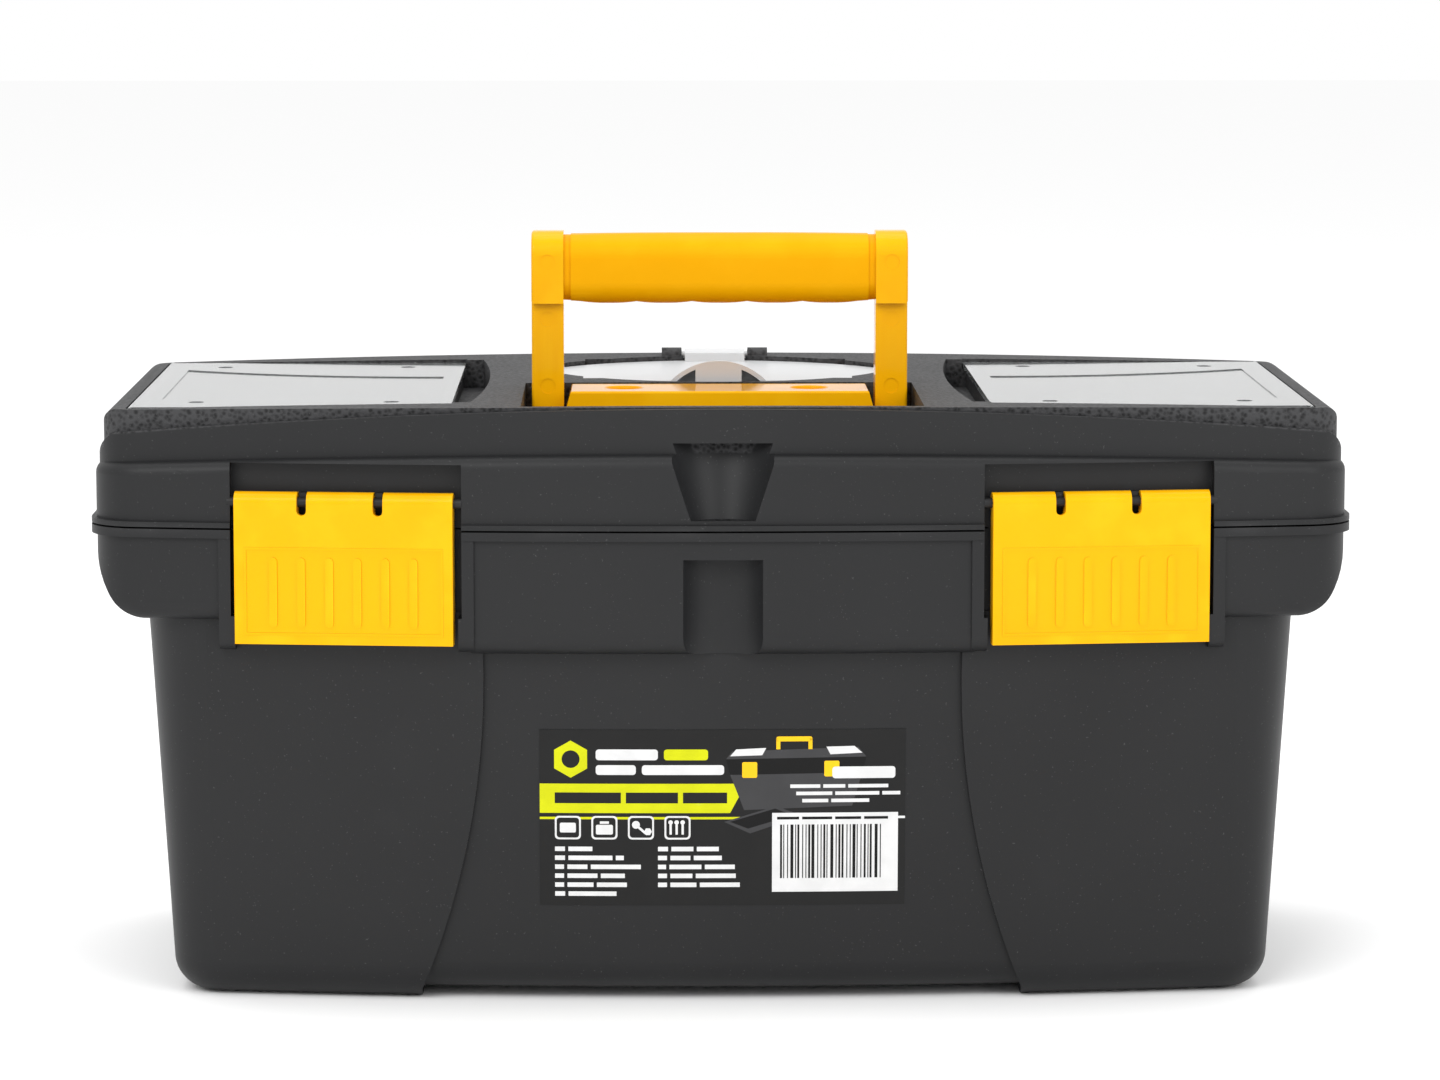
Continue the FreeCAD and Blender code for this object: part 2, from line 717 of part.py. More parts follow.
pocket, pocket_wall = basin("pocket", "pocket_in", "pocket_out", "-pocket_y", "pocket_y", "pocket_floor_z")
rebate = box("rebate", "clear_in - clear_gap", "clear_hinge_x + clear_pin + clear_gap",
             "-clear_half_y - clear_gap",
             "clear_half_y + clear_gap", "clear_hinge_z - clear_pin - clear_gap", TOP)
rebate_wall = box("rebate_wall", "clear_in - 1", "clear_hinge_x + clear_pin + clear_gap + skin",
                  "-clear_half_y - clear_gap - 4", "clear_half_y + clear_gap + 4",
                  "clear_hinge_z - clear_pin - clear_gap - skin - 1.4", TOP)
finger = plan_profile("finger", [("clear_in + 1", "-finger_half"), ("clear_in + 1", "finger_half"),
                                 ("finger_x + 4.2", "finger_half"), ("finger_x + 4.2", "-finger_half")],
                      [(2, "finger_curve", 1)], "finger_floor_z", TOP)
finger_wall = box("finger_wall", "finger_x - skin", "clear_in + 4", "-finger_half - skin",
                  "finger_half + skin", "finger_floor_z - skin", TOP)
clear_pin_hole = rod("clear_pin_hole", "clear_pin + clear_pin_fit", "2 * (clear_half_y + clear_gap + 2)",
                     "clear_hinge_x", "-clear_half_y - clear_gap - 2", "clear_hinge_z", ALONG_Y)
well, well_wall = basin("well", "-well_half", "well_half", "well_front_y", "well_back_y", "well_floor_z")
well_brace = box("well_brace", "-well_half - skin", "well_half + skin", "-plateau_y", "well_front_y",
                 "well_floor_z - skin", "roof_z + 1")
nook, nook_wall = basin("nook", "-oval_pocket_half", "oval_pocket_half", "oval_pocket_front_y",
                        "oval_pocket_back_y", "oval_pocket_floor_z")


def oval_points(gap):
    """Corners of the oval lid: where its front and back arcs meet the short straight ends."""
    half = f"oval_half + {gap}"
    front = f"oval_front_y + oval_front_curve - sqrt((oval_front_curve + {gap})^2 - ({half})^2)"
    back = f"oval_back_y - oval_back_curve + sqrt((oval_back_curve + {gap})^2 - ({half})^2)"
    points = [(f"-({half})", front), (half, front), (half, back), (f"-({half})", back)]
    return points, [(0, f"oval_front_curve + {gap}", 1), (2, f"oval_back_curve + {gap}", 1)]


oval_rebate = plan_profile("oval_rebate", *oval_points("oval_gap"), "clear_hinge_z - clear_pin - clear_gap",
                           TOP)
oval_wall = plan_profile("oval_wall", *oval_points("oval_gap + 1.4"),
                         "clear_hinge_z - clear_pin - clear_gap - skin", TOP)
dome_well = box("dome_well", "-scoop_radius", "scoop_radius", "well_back_y + skin + 0.6",
                "oval_pocket_front_y + 1", "oval_pocket_floor_z + 10", TOP)
dome_well_wall = box("dome_well_wall", "-scoop_radius - skin", "scoop_radius + skin", "well_back_y",
                     "oval_pocket_front_y", "oval_pocket_floor_z + 10 - skin", TOP)
tab_slot = box("tab_slot", "-tab_half - 0.5", "tab_half + 0.5", "tab_y - 12", "tab_y + tab_radius + 0.5",
               "tab_z - tab_radius - 1.6", TOP)
tab_slot_wall = box("tab_slot_wall", "-tab_half - 10", "tab_half + 10", "tab_y - 12",
                    "tab_y + tab_radius + 1.5", "tab_z - tab_radius - 1.6 - skin", TOP)
TAB_EAR_START = "tab_half + tab_ear_gap"
tab_ear_rod = rod("tab_ear_rod", "tab_radius + 0.4", "tab_ear", TAB_EAR_START, "tab_y", "tab_z", ALONG_X)
tab_ear_foot = box("tab_ear_foot", TAB_EAR_START, f"{TAB_EAR_START} + tab_ear",
                   "tab_y - tab_radius - 0.4", "tab_y + tab_radius + 0.4", "roof_z", "tab_z")
tab_ears = both("tab_ears", fuse("tab_ear", tab_ear_rod, tab_ear_foot))
tab_holes = rod("tab_holes", "clear_pin + clear_pin_fit + 0.2", "2 * (tab_half + tab_ear_gap + 3)",
                "-(tab_half + tab_ear_gap + 3)", "tab_y", "tab_z", ALONG_X)

lid_recess_zone = box("lid_recess_zone", "recess_in", "recess_out", "-lip_y - 5", "-60", "lid_bottom_z - 1",
                      "lid_recess_top_z")
lid_recess = cut("lid_recess", lid_recess_zone,
                 bowed("lid_recess_face", "belt_half_x", "lid_recess_y", "0", "plan_corner",
                       "lid_bottom_z - 2", "lid_recess_top_z + 1"))
lid_recess_block = cut("lid_recess_block",
                       box("lid_recess_span", "recess_in - wall", "recess_out + wall", "-lip_y - 5", "-60",
                           "lid_bottom_z - 1", "lid_recess_top_z + wall"),
                       bowed("lid_recess_back", "belt_half_x", "lid_recess_y - wall", "0", "plan_corner",
                             "lid_bottom_z - 2", "lid_recess_top_z + wall + 1"))
notch = cone("notch", "notch_low", "notch_high", "notch_top_z - notch_floor_z", "0", "notch_y",
             "notch_floor_z")
notch_wall = cone("notch_wall", "notch_low + skin - 0.6", "notch_high + skin",
                  "notch_top_z - lid_bottom_z + skin", "0", "notch_y", "lid_bottom_z - 0.1")
eye_lid = rod("eye_lid", "eye_radius", "6", "0", "eye_y", "lid_bottom_z - 2")

side_walls = both("side_walls", fuse("side_walls_right", pocket_wall, rebate_wall, finger_wall,
                                     lid_recess_block))
lid_blocks = common("lid_blocks", fuse("lid_blocks_all", side_walls, well_wall, well_brace, nook_wall,
                                       oval_wall, dome_well_wall, tab_slot_wall, notch_wall), lid_solid)
lid_hollow = cut("lid_hollow", lid_space, lid_blocks)
side_holes = both("side_holes", fuse("side_holes_right", pocket, rebate, finger, clear_pin_hole,
                                     lid_recess))

swing_lid = both("swing_lid", fuse("swing_lid_right",
                                   hinge_barrel("swing_lid_near", "hinge_x - ear_out - 0.4",
                                                "hinge_x - knuckle_half", "barrel + swing_gap"),
                                   hinge_barrel("swing_lid_far", "hinge_x + knuckle_half",
                                                "hinge_x + ear_out + 0.4", "barrel + swing_gap")))
knuckle_web = front_profile("knuckle_web", [("hinge_x - knuckle_half", "hinge_z + 0.4"),
                                            ("hinge_x + knuckle_half", "hinge_z + 0.4"),
                                            ("hinge_x + knuckle_half", "hinge_z + 12"),
                                            ("hinge_x - knuckle_half", "hinge_z + 12")], (), "hinge_y - 7",
                            "hinge_y + 1.5")
knuckles = both("knuckles", fuse("knuckle", hinge_barrel("knuckle_barrel", "hinge_x - knuckle_half",
                                                         "hinge_x + knuckle_half", "barrel"), knuckle_web))
knuckle_holes = both("knuckle_holes", hinge_barrel("knuckle_hole", "hinge_x - knuckle_half - 1",
                                                   "hinge_x + knuckle_half + 1", "pin_radius + pin_fit"))


def latch_rod(tag, side):
    """The rod that a latch turns on, with the two webs that hold it off the recess wall."""
    base = doc.addObject("Part::Compound", f"rod_{tag}")
    turned = rod(f"rod_bar_{tag}", "rod_radius", "2 * latch_half + 5.4", "-latch_half - 2.7", "0", "0",
                 ALONG_X)
    webs = [box(f"rod_web_{tag}_{spot}", f"{spot} - slot_wide * 0.34", f"{spot} + slot_wide * 0.34", "0",
                "6", "-rod_radius", "rod_radius + 1.4") for spot in ("slot_low", "slot_high")]
    base.Links = [fuse(f"rod_all_{tag}", turned, *webs)]
    return latch_turn(base, side)


rods = [latch_rod("left", -1), latch_rod("right", 1)]
lid_open = cut("lid_open", fuse("lid_with_knuckles", lid_solid, knuckles, tab_ears), lid_hollow, side_holes,
               well, nook,
               oval_rebate, dome_well, tab_slot, tab_holes, notch, eye_lid, swing_lid, knuckle_holes)
lid_shell = fuse("lid_shell", lid_open, *rods)

# ---------------------------------------------------------------- hinge pins
for tag, side in (("left", -1), ("right", 1)):
    rod(f"hinge_pin_{tag}", "pin_radius", "2 * ear_out", f"{side} * hinge_x - ear_out", "hinge_y",
        "hinge_z", ALONG_X)

# ---------------------------------------------------------------- latches
def latch(tag, side):
    """Latch drawn about its pivot: plate below, knuckle on the rod, ribs and a framed grip panel in front."""
    owner = body(f"latch_{tag}")
    plate = plane_sketch(owner, "YZ_Plane", f"latch_section_{tag}", [
        ("-latch_knuckle", "0"), ("-latch_knuckle", "-latch_drop"), ("-latch_knuckle + latch_thick",
                                                                     "-latch_drop"),
        ("-latch_knuckle + latch_thick", "-hook_low"), ("hook_tip - 0.6", "-hook_low"), ("hook_tip",
                                                                                         "-hook_low + 0.9"),
        ("hook_tip", "-hook_high - 0.9"), ("-latch_knuckle + latch_thick", "-hook_high + 1.2"),
        ("-latch_knuckle + latch_thick", "-latch_knuckle"), ("0", "-latch_knuckle"), ("latch_knuckle", "0"),
        ("0", "latch_knuckle")],
        [(9, "latch_knuckle", 1), (10, "latch_knuckle", 1), (11, "latch_knuckle", 1)])
    base = feature(owner, "Pad", f"latch_plate_{tag}", plate, "2 * latch_half", middle=True)
    for spot, shift in (("low", "-latch_half"), ("high", "latch_half - latch_side")):
        cheek = plane_sketch(owner, "YZ_Plane", f"latch_cheek_{spot}_{tag}", [
            ("-latch_knuckle + 0.5", "-latch_knuckle * 0.4"), ("-latch_knuckle + 0.5", "-latch_drop"),
            ("latch_side_y - 1", "-latch_drop"), ("latch_side_y", "-latch_drop + 3"),
            ("latch_side_y", "-latch_knuckle * 0.4")], shift=shift)
        feature(owner, "Pad", f"latch_cheek_pad_{spot}_{tag}", cheek, "latch_side")
    slots = plane_sketch(owner, "XZ_Plane", f"latch_slots_{tag}", shift="-8")
    low = "latch_knuckle - slot_deep + slot_wide / 2"
    for i, spot in enumerate(("slot_low", "slot_high")):
        start = slots.GeometryCount
        left, right = f"{spot} - slot_wide / 2", f"{spot} + slot_wide / 2"
        u_shape(slots, start, left, right, "latch_knuckle + 1", low, "slot_wide / 2")
    cutter = feature(owner, "Pocket", f"latch_slot_cut_{tag}", slots, "16")
    cutter.Reversed = True
    bore = circles(plane_sketch(owner, "YZ_Plane", f"latch_bore_{tag}", shift="-latch_half - 1"),
                   [("0", "0")], "rod_radius + rod_fit")
    feature(owner, "Pocket", f"latch_bore_cut_{tag}", bore, "2 * latch_half + 2", reverse=True)
    frame = plane_sketch(owner, "XZ_Plane", f"latch_frame_{tag}", shift="latch_knuckle - 0.01")
    for start, inset in ((0, "0"), (4, "0.9")):
        loop(frame, start, [(f"-latch_half + frame_inset + {inset}", f"-frame_bottom + {inset}"),
                            (f"latch_half - frame_inset - {inset}", f"-frame_bottom + {inset}"),
                            (f"latch_half - frame_inset - {inset}", f"-frame_top - {inset}"),
                            (f"-latch_half + frame_inset + {inset}", f"-frame_top - {inset}")])
    feature(owner, "Pad", f"latch_frame_raise_{tag}", frame, "rib_raise * 0.5")
    rib = plane_sketch(owner, "XZ_Plane", f"latch_rib_{tag}", shift="latch_knuckle - 0.01")
    capsule(rib, "rib_first", "rib_wide", "-rib_bottom", "-rib_top")
    raised = feature(owner, "Pad", f"latch_rib_raise_{tag}", rib, "rib_raise")
    row = owner.newObject("PartDesign::LinearPattern", f"latch_ribs_{tag}")
    row.Originals = [raised]
    row.Direction = (rib, ["H_Axis"])
    row.Occurrences = 6
    bind(row, Length="5 * rib_pitch")
    owner.Tip = row
    latch_turn(owner, side)
    return owner


def loop(sketch, start, points):
    """Adds one more closed straight-sided outline to a sketch."""
    spots = [V(number(x), number(y), 0) for x, y in points]
    for i, spot in enumerate(spots):
        sketch.addGeometry(Part.LineSegment(spot, spots[(i + 1) % len(spots)]))
    for i, (x, y) in enumerate(points):
        following = start + (i + 1) % len(points)
        sketch.addConstraint(Sketcher.Constraint("Coincident", start + i, 2, following, 1))
        dimension(sketch, "DistanceX", -1, 1, start + i, 1, text=x)
        dimension(sketch, "DistanceY", -1, 1, start + i, 1, text=y)


def u_shape(sketch, start, left, right, high, low, radius):
    """Adds a slot outline with a straight top and a round lower end."""
    x0, x1, z1, z0, r = (number(text) for text in (left, right, high, low, radius))
    sketch.addGeometry(Part.LineSegment(V(x1, z0, 0), V(x1, z1, 0)))
    sketch.addGeometry(Part.LineSegment(V(x1, z1, 0), V(x0, z1, 0)))
    sketch.addGeometry(Part.LineSegment(V(x0, z1, 0), V(x0, z0, 0)))
    sketch.addGeometry(Part.ArcOfCircle(Part.Circle(V((x0 + x1) / 2, z0, 0), V(0, 0, 1), r), math.pi,
                                        2 * math.pi))
    for i in range(4):
        sketch.addConstraint(Sketcher.Constraint("Coincident", start + i, 2, start + (i + 1) % 4, 1))
    for i, x, y in ((0, right, low), (1, right, high), (2, left, high), (3, left, low)):
        dimension(sketch, "DistanceX", -1, 1, start + i, 1, text=x)
        dimension(sketch, "DistanceY", -1, 1, start + i, 1, text=y)
    dimension(sketch, "DistanceY", -1, 1, start + 3, 3, text=low)


def capsule(sketch, middle, wide, low, high):
    """Upright outline with two round ends."""
    x, w, z0, z1 = (number(text) for text in (middle, wide, low, high))
    r = w / 2
    sketch.addGeometry(Part.LineSegment(V(x + r, z0 + r, 0), V(x + r, z1 - r, 0)))
    sketch.addGeometry(Part.ArcOfCircle(Part.Circle(V(x, z1 - r, 0), V(0, 0, 1), r), 0, math.pi))
    sketch.addGeometry(Part.LineSegment(V(x - r, z1 - r, 0), V(x - r, z0 + r, 0)))
    sketch.addGeometry(Part.ArcOfCircle(Part.Circle(V(x, z0 + r, 0), V(0, 0, 1), r), math.pi, 2 * math.pi))
    for i in range(4):
        sketch.addConstraint(Sketcher.Constraint("Tangent", i, 2, (i + 1) % 4, 1))
    sketch.addConstraint(Sketcher.Constraint("Vertical", 0))
    dimension(sketch, "DistanceX", -1, 1, 1, 3, text=middle)
    dimension(sketch, "DistanceY", -1, 1, 1, 3, text=f"({high}) - ({wide}) / 2")
    dimension(sketch, "DistanceY", -1, 1, 3, 3, text=f"({low}) + ({wide}) / 2")
    dimension(sketch, "Radius", 1, text=f"({wide}) / 2")


latch_left = latch("left", -1)
latch_right = latch("right", 1)

# ---------------------------------------------------------------- handle
base = body("handle_base")
bar = plane_sketch(base, "XZ_Plane", "bar_front", [
    ("-bar_half", "well_floor_z"), ("bar_half", "well_floor_z"), ("bar_half", "handle_z + pivot_radius"),
    ("bar_top_half", "bar_top_z"), ("-bar_top_half", "bar_top_z"), ("-bar_half",
                                                                    "handle_z + pivot_radius")],
    shift="-bar_back_y")
bar_pad = feature(base, "Pad", "bar_pad", bar, "bar_back_y - bar_front_y")
dishes = circles(plane_sketch(base, "XY_Plane", "bar_dishes", shift="bar_top_z"),
                 [("dish_left", "handle_y"), ("dish_right", "handle_y")], "dish_radius")
feature(base, "Pocket", "bar_dish_cut", dishes, "dish_deep")
bores = circles(plane_sketch(base, "XY_Plane", "bar_bores", shift="bar_top_z - dish_deep"),
                [("dish_left", "handle_y"), ("dish_right", "handle_y")], "dish_radius * 0.45")
feature(base, "Pocket", "bar_bore_cut", bores, "bore_deep")
pivots = circles(plane_sketch(base, "YZ_Plane", "bar_pivots"), [("handle_y", "handle_z")], "pivot_radius")
bar_pins = feature(base, "Pad", "bar_pins", pivots, "2 * pivot_tip", middle=True)
bar_top = number("bar_top_z")
soften(base, "bar_edges", bar_pins, "bar_edge", lambda e: is_level(e, bar_top) and e.Length > 20)


def arm(tag, side):
    """Side arm: a leg on the pivot pin and a deeper head at the grip."""
    owner = body(f"handle_arm_{tag}")
    start = "arm_in" if side > 0 else "-arm_out"
    leg = plane_sketch(owner, "YZ_Plane", f"leg_outline_{tag}", [
        ("handle_y - leg_half", "handle_z"), ("handle_y", "handle_z - leg_half"), ("handle_y + leg_half",
                                                                                   "handle_z"),
        ("handle_y + leg_half", "head_z"), ("handle_y - leg_half", "head_z")],
        [(0, "leg_half", 1), (1, "leg_half", 1)], shift=start)
    feature(owner, "Pad", f"leg_{tag}", leg, "arm_out - arm_in")
    head = plane_sketch(owner, "YZ_Plane", f"head_outline_{tag}", [
        ("handle_y - head_half", "head_z - 0.5"), ("handle_y + head_half", "head_z - 0.5"),
        ("handle_y + head_half", "arm_top_z - head_round"), ("handle_y + head_half - head_round",
                                                             "arm_top_z"),
        ("handle_y - head_half + head_round", "arm_top_z"), ("handle_y - head_half",
                                                             "arm_top_z - head_round")],
        [(2, "head_round", 1), (4, "head_round", 1)], shift=start)
    top = feature(owner, "Pad", f"head_{tag}", head, "arm_out - arm_in")
    outer = number("arm_out") * side
    soften(owner, f"arm_edges_{tag}", top, "1",
           lambda e: abs(e.BoundBox.XMin - outer) < 0.01 and abs(e.BoundBox.XMax - outer) < 0.01)
    bore_start = "arm_in" if side > 0 else "-pivot_tip - 1"
    hole = circles(plane_sketch(owner, "YZ_Plane", f"arm_bore_{tag}", shift=bore_start),
                   [("handle_y", "handle_z")], "pivot_radius + pivot_fit")
    feature(owner, "Pocket", f"arm_bore_cut_{tag}", hole, "pivot_tip - arm_in + 1", reverse=True)
    marks = circles(plane_sketch(owner, "XZ_Plane", f"arm_marks_{tag}",
                                 shift="-handle_y + head_half + 0.1"),
                    [(f"{side} * (arm_in + arm_out) / 2", "arm_top_z - 10")], "mark_radius")
    feature(owner, "Pocket", f"arm_mark_cut_{tag}", marks, "mark_deep")
    marks = circles(plane_sketch(owner, "XZ_Plane", f"leg_marks_{tag}", shift="-handle_y + leg_half + 0.1"),
                    [(f"{side} * (arm_in + arm_out) / 2", "head_z - 6"),
                     (f"{side} * (arm_in + arm_out) / 2", "handle_z + 11")], "mark_radius")
    feature(owner, "Pocket", f"leg_mark_cut_{tag}", marks, "mark_deep")
    return owner


arm_left = arm("left", -1)
arm_right = arm("right", 1)

LOBES = 5
scallops = [(f"{i} * 2 * grip_lobe - {LOBES} * grip_lobe", "grip_cusp_z") for i in range(LOBES + 1)]
grip_points = ([("-grip_end", "grip_end_z")] + scallops + [("grip_end", "grip_end_z"), ("grip_end",
                                                                                        "grip_top_z - 0.5"),
                                                            ("-grip_end", "grip_top_z - 0.5")])
lobe_sink = "(grip_cusp_z - grip_low_z)"
lobe_curve = f"(grip_lobe^2 + {lobe_sink}^2) / (2 * {lobe_sink})"
grip_front = front_profile("grip_face", grip_points,
                           [(i, lobe_curve, 1) for i in range(1, LOBES + 1)] + [(LOBES + 3, "grip_crown",
                                                                                 1)],
                           "handle_y - 20", "handle_y + 20")


def grip_section(name, inset, x0, x1):
    """The grip's oval section, set in by the inset, carried between two X planes."""
    sketch = doc.addObject("Sketcher::SketchObject", name + "_end")
    place(sketch, x0, 0, 0, END_ON)
    half, low, high = f"head_half - 0.4 - ({inset})", f"grip_low_z + ({inset})", f"grip_top_z - ({inset})"
    front, back = f"handle_y - ({half})", f"handle_y + ({half})"
    under, over = "grip_under_round", "grip_over_round"
    points = [(f"{front} + {under}", low), (f"{back} - {under}", low), (back, f"{low} + {under}"),
              (back, f"{high} - {over}"), (f"{back} - {over}", high), (f"{front} + {over}", high),
              (front, f"{high} - {over}"), (front, f"{low} + {under}")]
    outline(sketch, points, [(1, under, 1), (3, over, 1), (5, over, 1), (7, under, 1)])
    return prism(name, sketch, V(1, 0, 0), f"({x1}) - ({x0})")


groove = both("grooves", cut("groove", box("groove_span", "collar_in", "collar_out", "handle_y - 20",
                                           "handle_y + 20", "grip_low_z - 5", "grip_top_z + 5"),
                             grip_section("groove_core", "collar_depth", "collar_in", "collar_out")))
handle_grip = cut("handle_grip", common("grip_solid", grip_front, grip_section("grip_core", "0",
                                                                               "-grip_end", "grip_end")),
                  groove)

# ---------------------------------------------------------------- clear organizer lids
def clear_lid(tag, side):
    """Flat clear lid: rounded hinge edge with end pins, and a slightly sunk panel that narrows inwards."""
    owner = body(f"organizer_lid_{tag}")
    z0, z1 = "clear_hinge_z - clear_pin", "clear_hinge_z + clear_pin"
    inner, axis = f"{side} * clear_in", f"{side} * clear_hinge_x"
    points = [(inner, z0), (axis, z0), (f"{side} * (clear_hinge_x + clear_pin)", "clear_hinge_z"), (axis,
                                                                                                    z1),
              (inner, z1)]
    section = plane_sketch(owner, "XZ_Plane", f"clear_section_{tag}", points,
                           [(1, "clear_pin", side), (2, "clear_pin", side)])
    feature(owner, "Pad", f"clear_plate_{tag}", section, "2 * clear_half_y", middle=True)
    pins = circles(plane_sketch(owner, "XZ_Plane", f"clear_pins_{tag}"), [(axis, "clear_hinge_z")],
                   "clear_pin * 0.98")
    feature(owner, "Pad", f"clear_pin_pad_{tag}", pins, "2 * (clear_half_y + clear_gap + 1.6)", middle=True)
    panel = plane_sketch(owner, "XY_Plane", f"clear_panel_{tag}", [
        (f"{side} * (clear_in + sunk_in)", f"{-side} * sunk_narrow_y"),
        (f"{side} * (clear_hinge_x - sunk_out)", f"{-side} * sunk_wide_y"),
        (f"{side} * (clear_hinge_x - sunk_out)", f"{side} * sunk_wide_y"),
        (f"{side} * (clear_in + sunk_in)", f"{side} * sunk_narrow_y")],
        [(0, "sunk_curve", -1), (2, "sunk_curve", -1)], shift=z1)
    feature(owner, "Pocket", f"clear_panel_cut_{tag}", panel, "sunk_deep")
    spots = [(f"{side} * (clear_in + {x})", y) for x in ("dot_near", "dot_far") for y in ("-dot_y",
                                                                                          "dot_y")]
    marks = circles(plane_sketch(owner, "XY_Plane", f"clear_marks_{tag}", shift=z1), spots, "dot_radius")
    feature(owner, "Pocket", f"clear_mark_cut_{tag}", marks, "dot_deep")
    return owner


clear_left = clear_lid("left", -1)
clear_right = clear_lid("right", 1)

# ---------------------------------------------------------------- oval lid behind the handle
CLEAR_LOW, CLEAR_HIGH = "clear_hinge_z - clear_pin", "clear_hinge_z + clear_pin"
oval_plate = plan_profile("oval_plate", *oval_points("0"), CLEAR_LOW, CLEAR_HIGH)
oval_tab = box("oval_tab", "-tab_half", "tab_half", "oval_back_y - 5", "tab_y", CLEAR_LOW,
               "tab_z + tab_radius * 0.6")
oval_knuckle = rod("oval_knuckle", "tab_radius", "2 * tab_half", "-tab_half", "tab_y", "tab_z", ALONG_X)
oval_pins = rod("oval_pins", "clear_pin + 0.2", "2 * (tab_half + tab_ear_gap + 2.4)",
                "-(tab_half + tab_ear_gap + 2.4)", "tab_y", "tab_z", ALONG_X)
step_rib = box("step_rib", "-30", "30", "oval_pocket_front_y", "oval_pocket_front_y + 2", CLEAR_LOW,
               "clear_hinge_z + clear_pin + 0.6")


def ball(name, radius):
    item = doc.addObject("Part::Sphere", name)
    bind(item, Radius=radius)
    return place(item, "0", "dome_y", "dome_z")


behind = box("behind", "-30", "30", "dome_y", "dome_y + 30", CLEAR_LOW, "dome_z + dome_radius + 1")
dome_outer = common("dome_outer", ball("dome_ball", "dome_radius"), behind)
dome_space = common("dome_space", ball("dome_hollow", "dome_radius - dome_skin"),
                    box("dome_reach", "-30", "30", "dome_y - 10", "dome_y + 30", "dome_z",
                        "dome_z + dome_radius"))
tongue = common("tongue", ball("tongue_ball", "dome_radius"),
                box("tongue_box", "-tongue_half", "tongue_half", "dome_y", "dome_y + dome_skin", CLEAR_LOW,
                    "dome_z + dome_radius"))
centre_lid = fuse("centre_lid", cut("oval_open", fuse("oval_solid", oval_plate, oval_tab, oval_knuckle,
                                                      oval_pins, step_rib, dome_outer), dome_space), tongue)

# ---------------------------------------------------------------- tray
tray_outer = bowed("tray_outer", "tray_half_x", "tray_y", "tray_y", "tray_corner", "tray_base_z",
                   "tray_top_z")
tray_flange_raw = bowed("tray_flange_raw", "tray_flange_half_x", "tray_flange_y", "tray_flange_y",
                        "tray_corner", "tray_flange_z", "tray_flange_top_z")
tray_flange = cut("tray_flange", tray_flange_raw,
                  both("tray_notches", box("tray_notch", "recess_in - 6", "recess_out + 6", "-lip_y", "-60",
                                           "tray_flange_z - 1", "tray_flange_top_z + 1")),
                  rod("tray_scoop_gap", "scoop_radius + skin + 1", "tray_flange_top_z - tray_flange_z + 2",
                      "0", "scoop_y", "tray_flange_z - 1"))
tray_base_low = number("tray_base_z")
tray_soft = rounded("tray_soft", tray_outer, "4", lambda e: is_level(e, tray_base_low))
tray_hollow = bowed("tray_hollow", "tray_half_x - tray_wall", "tray_y - tray_wall", "tray_y - tray_wall",
                    "tray_corner - tray_wall", "tray_base_z + tray_wall", "tray_top_z + 1")
tray_floor_z = number("tray_base_z + tray_wall")
tray_space = rounded("tray_space", tray_hollow, "3", lambda e: is_level(e, tray_floor_z))
divider = box("tray_divider", "tray_divider_x", "tray_divider_x + tray_wall", "-tray_y + 0.5",
              "tray_y - 0.5", "tray_base_z + 1", "tray_top_z - 4")
slats = [box(f"tray_slat_{i}", "tray_divider_x + 1", "tray_half_x - 1", f"{y} - tray_wall / 2",
             f"{y} + tray_wall / 2",
             "tray_base_z + 1", "tray_top_z - 8") for i, y in enumerate(("-tray_y / 3", "tray_y / 3"))]
tray = fuse("tray", cut("tray_shell", fuse("tray_solid", tray_soft, tray_flange), tray_space),
            common("tray_ribs", fuse("tray_rib_set", divider, *slats), tray_soft))

# ---------------------------------------------------------------- front label
label_block = prism("label_block", bowed_sketch("label_plan", "bin_half_x - panel_depth + label_thick",
                                                "bin_y - panel_depth + label_thick",
                                                "bin_y - panel_depth + label_thick",
                                                "bin_corner - panel_depth + label_thick"),
                    V(0, 0, -1), "bin_top_z - panel_floor_z", "-bin_draft")
place(doc.getObject("label_plan"), 0, 0, "bin_top_z")
label_sheet = common("label_sheet", label_block, box("label_span", "-label_half", "label_half", "-lip_y",
                                                     "-60", "label_low_z", "label_high_z"))
front_label = cut("front_label", label_sheet, doc.getObject("bin_panel_block"))

NODES = {
    "body_shell": body_shell,
    "front_label": front_label,
    "lid_shell": lid_shell,
    "latch_left": latch_left,
    "latch_right": latch_right,
    "handle_base": base,
    "handle_arm_left": arm_left,
    "handle_arm_right": arm_right,
    "handle_grip": handle_grip,
    "organizer_lid_left": clear_left,
    "organizer_lid_right": clear_right,
    "centre_lid": centre_lid,
    "hinge_pin_left": doc.getObject("hinge_pin_left"),
    "hinge_pin_right": doc.getObject("hinge_pin_right"),
    "tray": tray,
}

doc.removeObject("gauge")
doc.recompute()

faults = []
for item in doc.Objects:
    if "Invalid" in item.State or "Error" in item.State:
        faults.append(f"{item.Name}: {item.getStatusString()}")
for name, item in NODES.items():
    shape = item.Shape
    if shape.isNull() or not shape.isValid() or shape.Volume <= 0 or len(shape.Solids) != 1:
        faults.append(f"{name}: the shape isn't one valid solid")
if faults:
    raise RuntimeError("; ".join(faults))

os.makedirs("parts", exist_ok=True)
for name, item in NODES.items():
    item.Label = name
    item.Shape.exportStep(f"parts/{name}.step")
    bound = item.Shape.BoundBox
    print(f"{name}: {item.Shape.Volume:.0f} mm3, X {bound.XMin:.1f}..{bound.XMax:.1f},"
          f" Y {bound.YMin:.1f}..{bound.YMax:.1f}, Z {bound.ZMin:.1f}..{bound.ZMax:.1f}")
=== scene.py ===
import json
import math

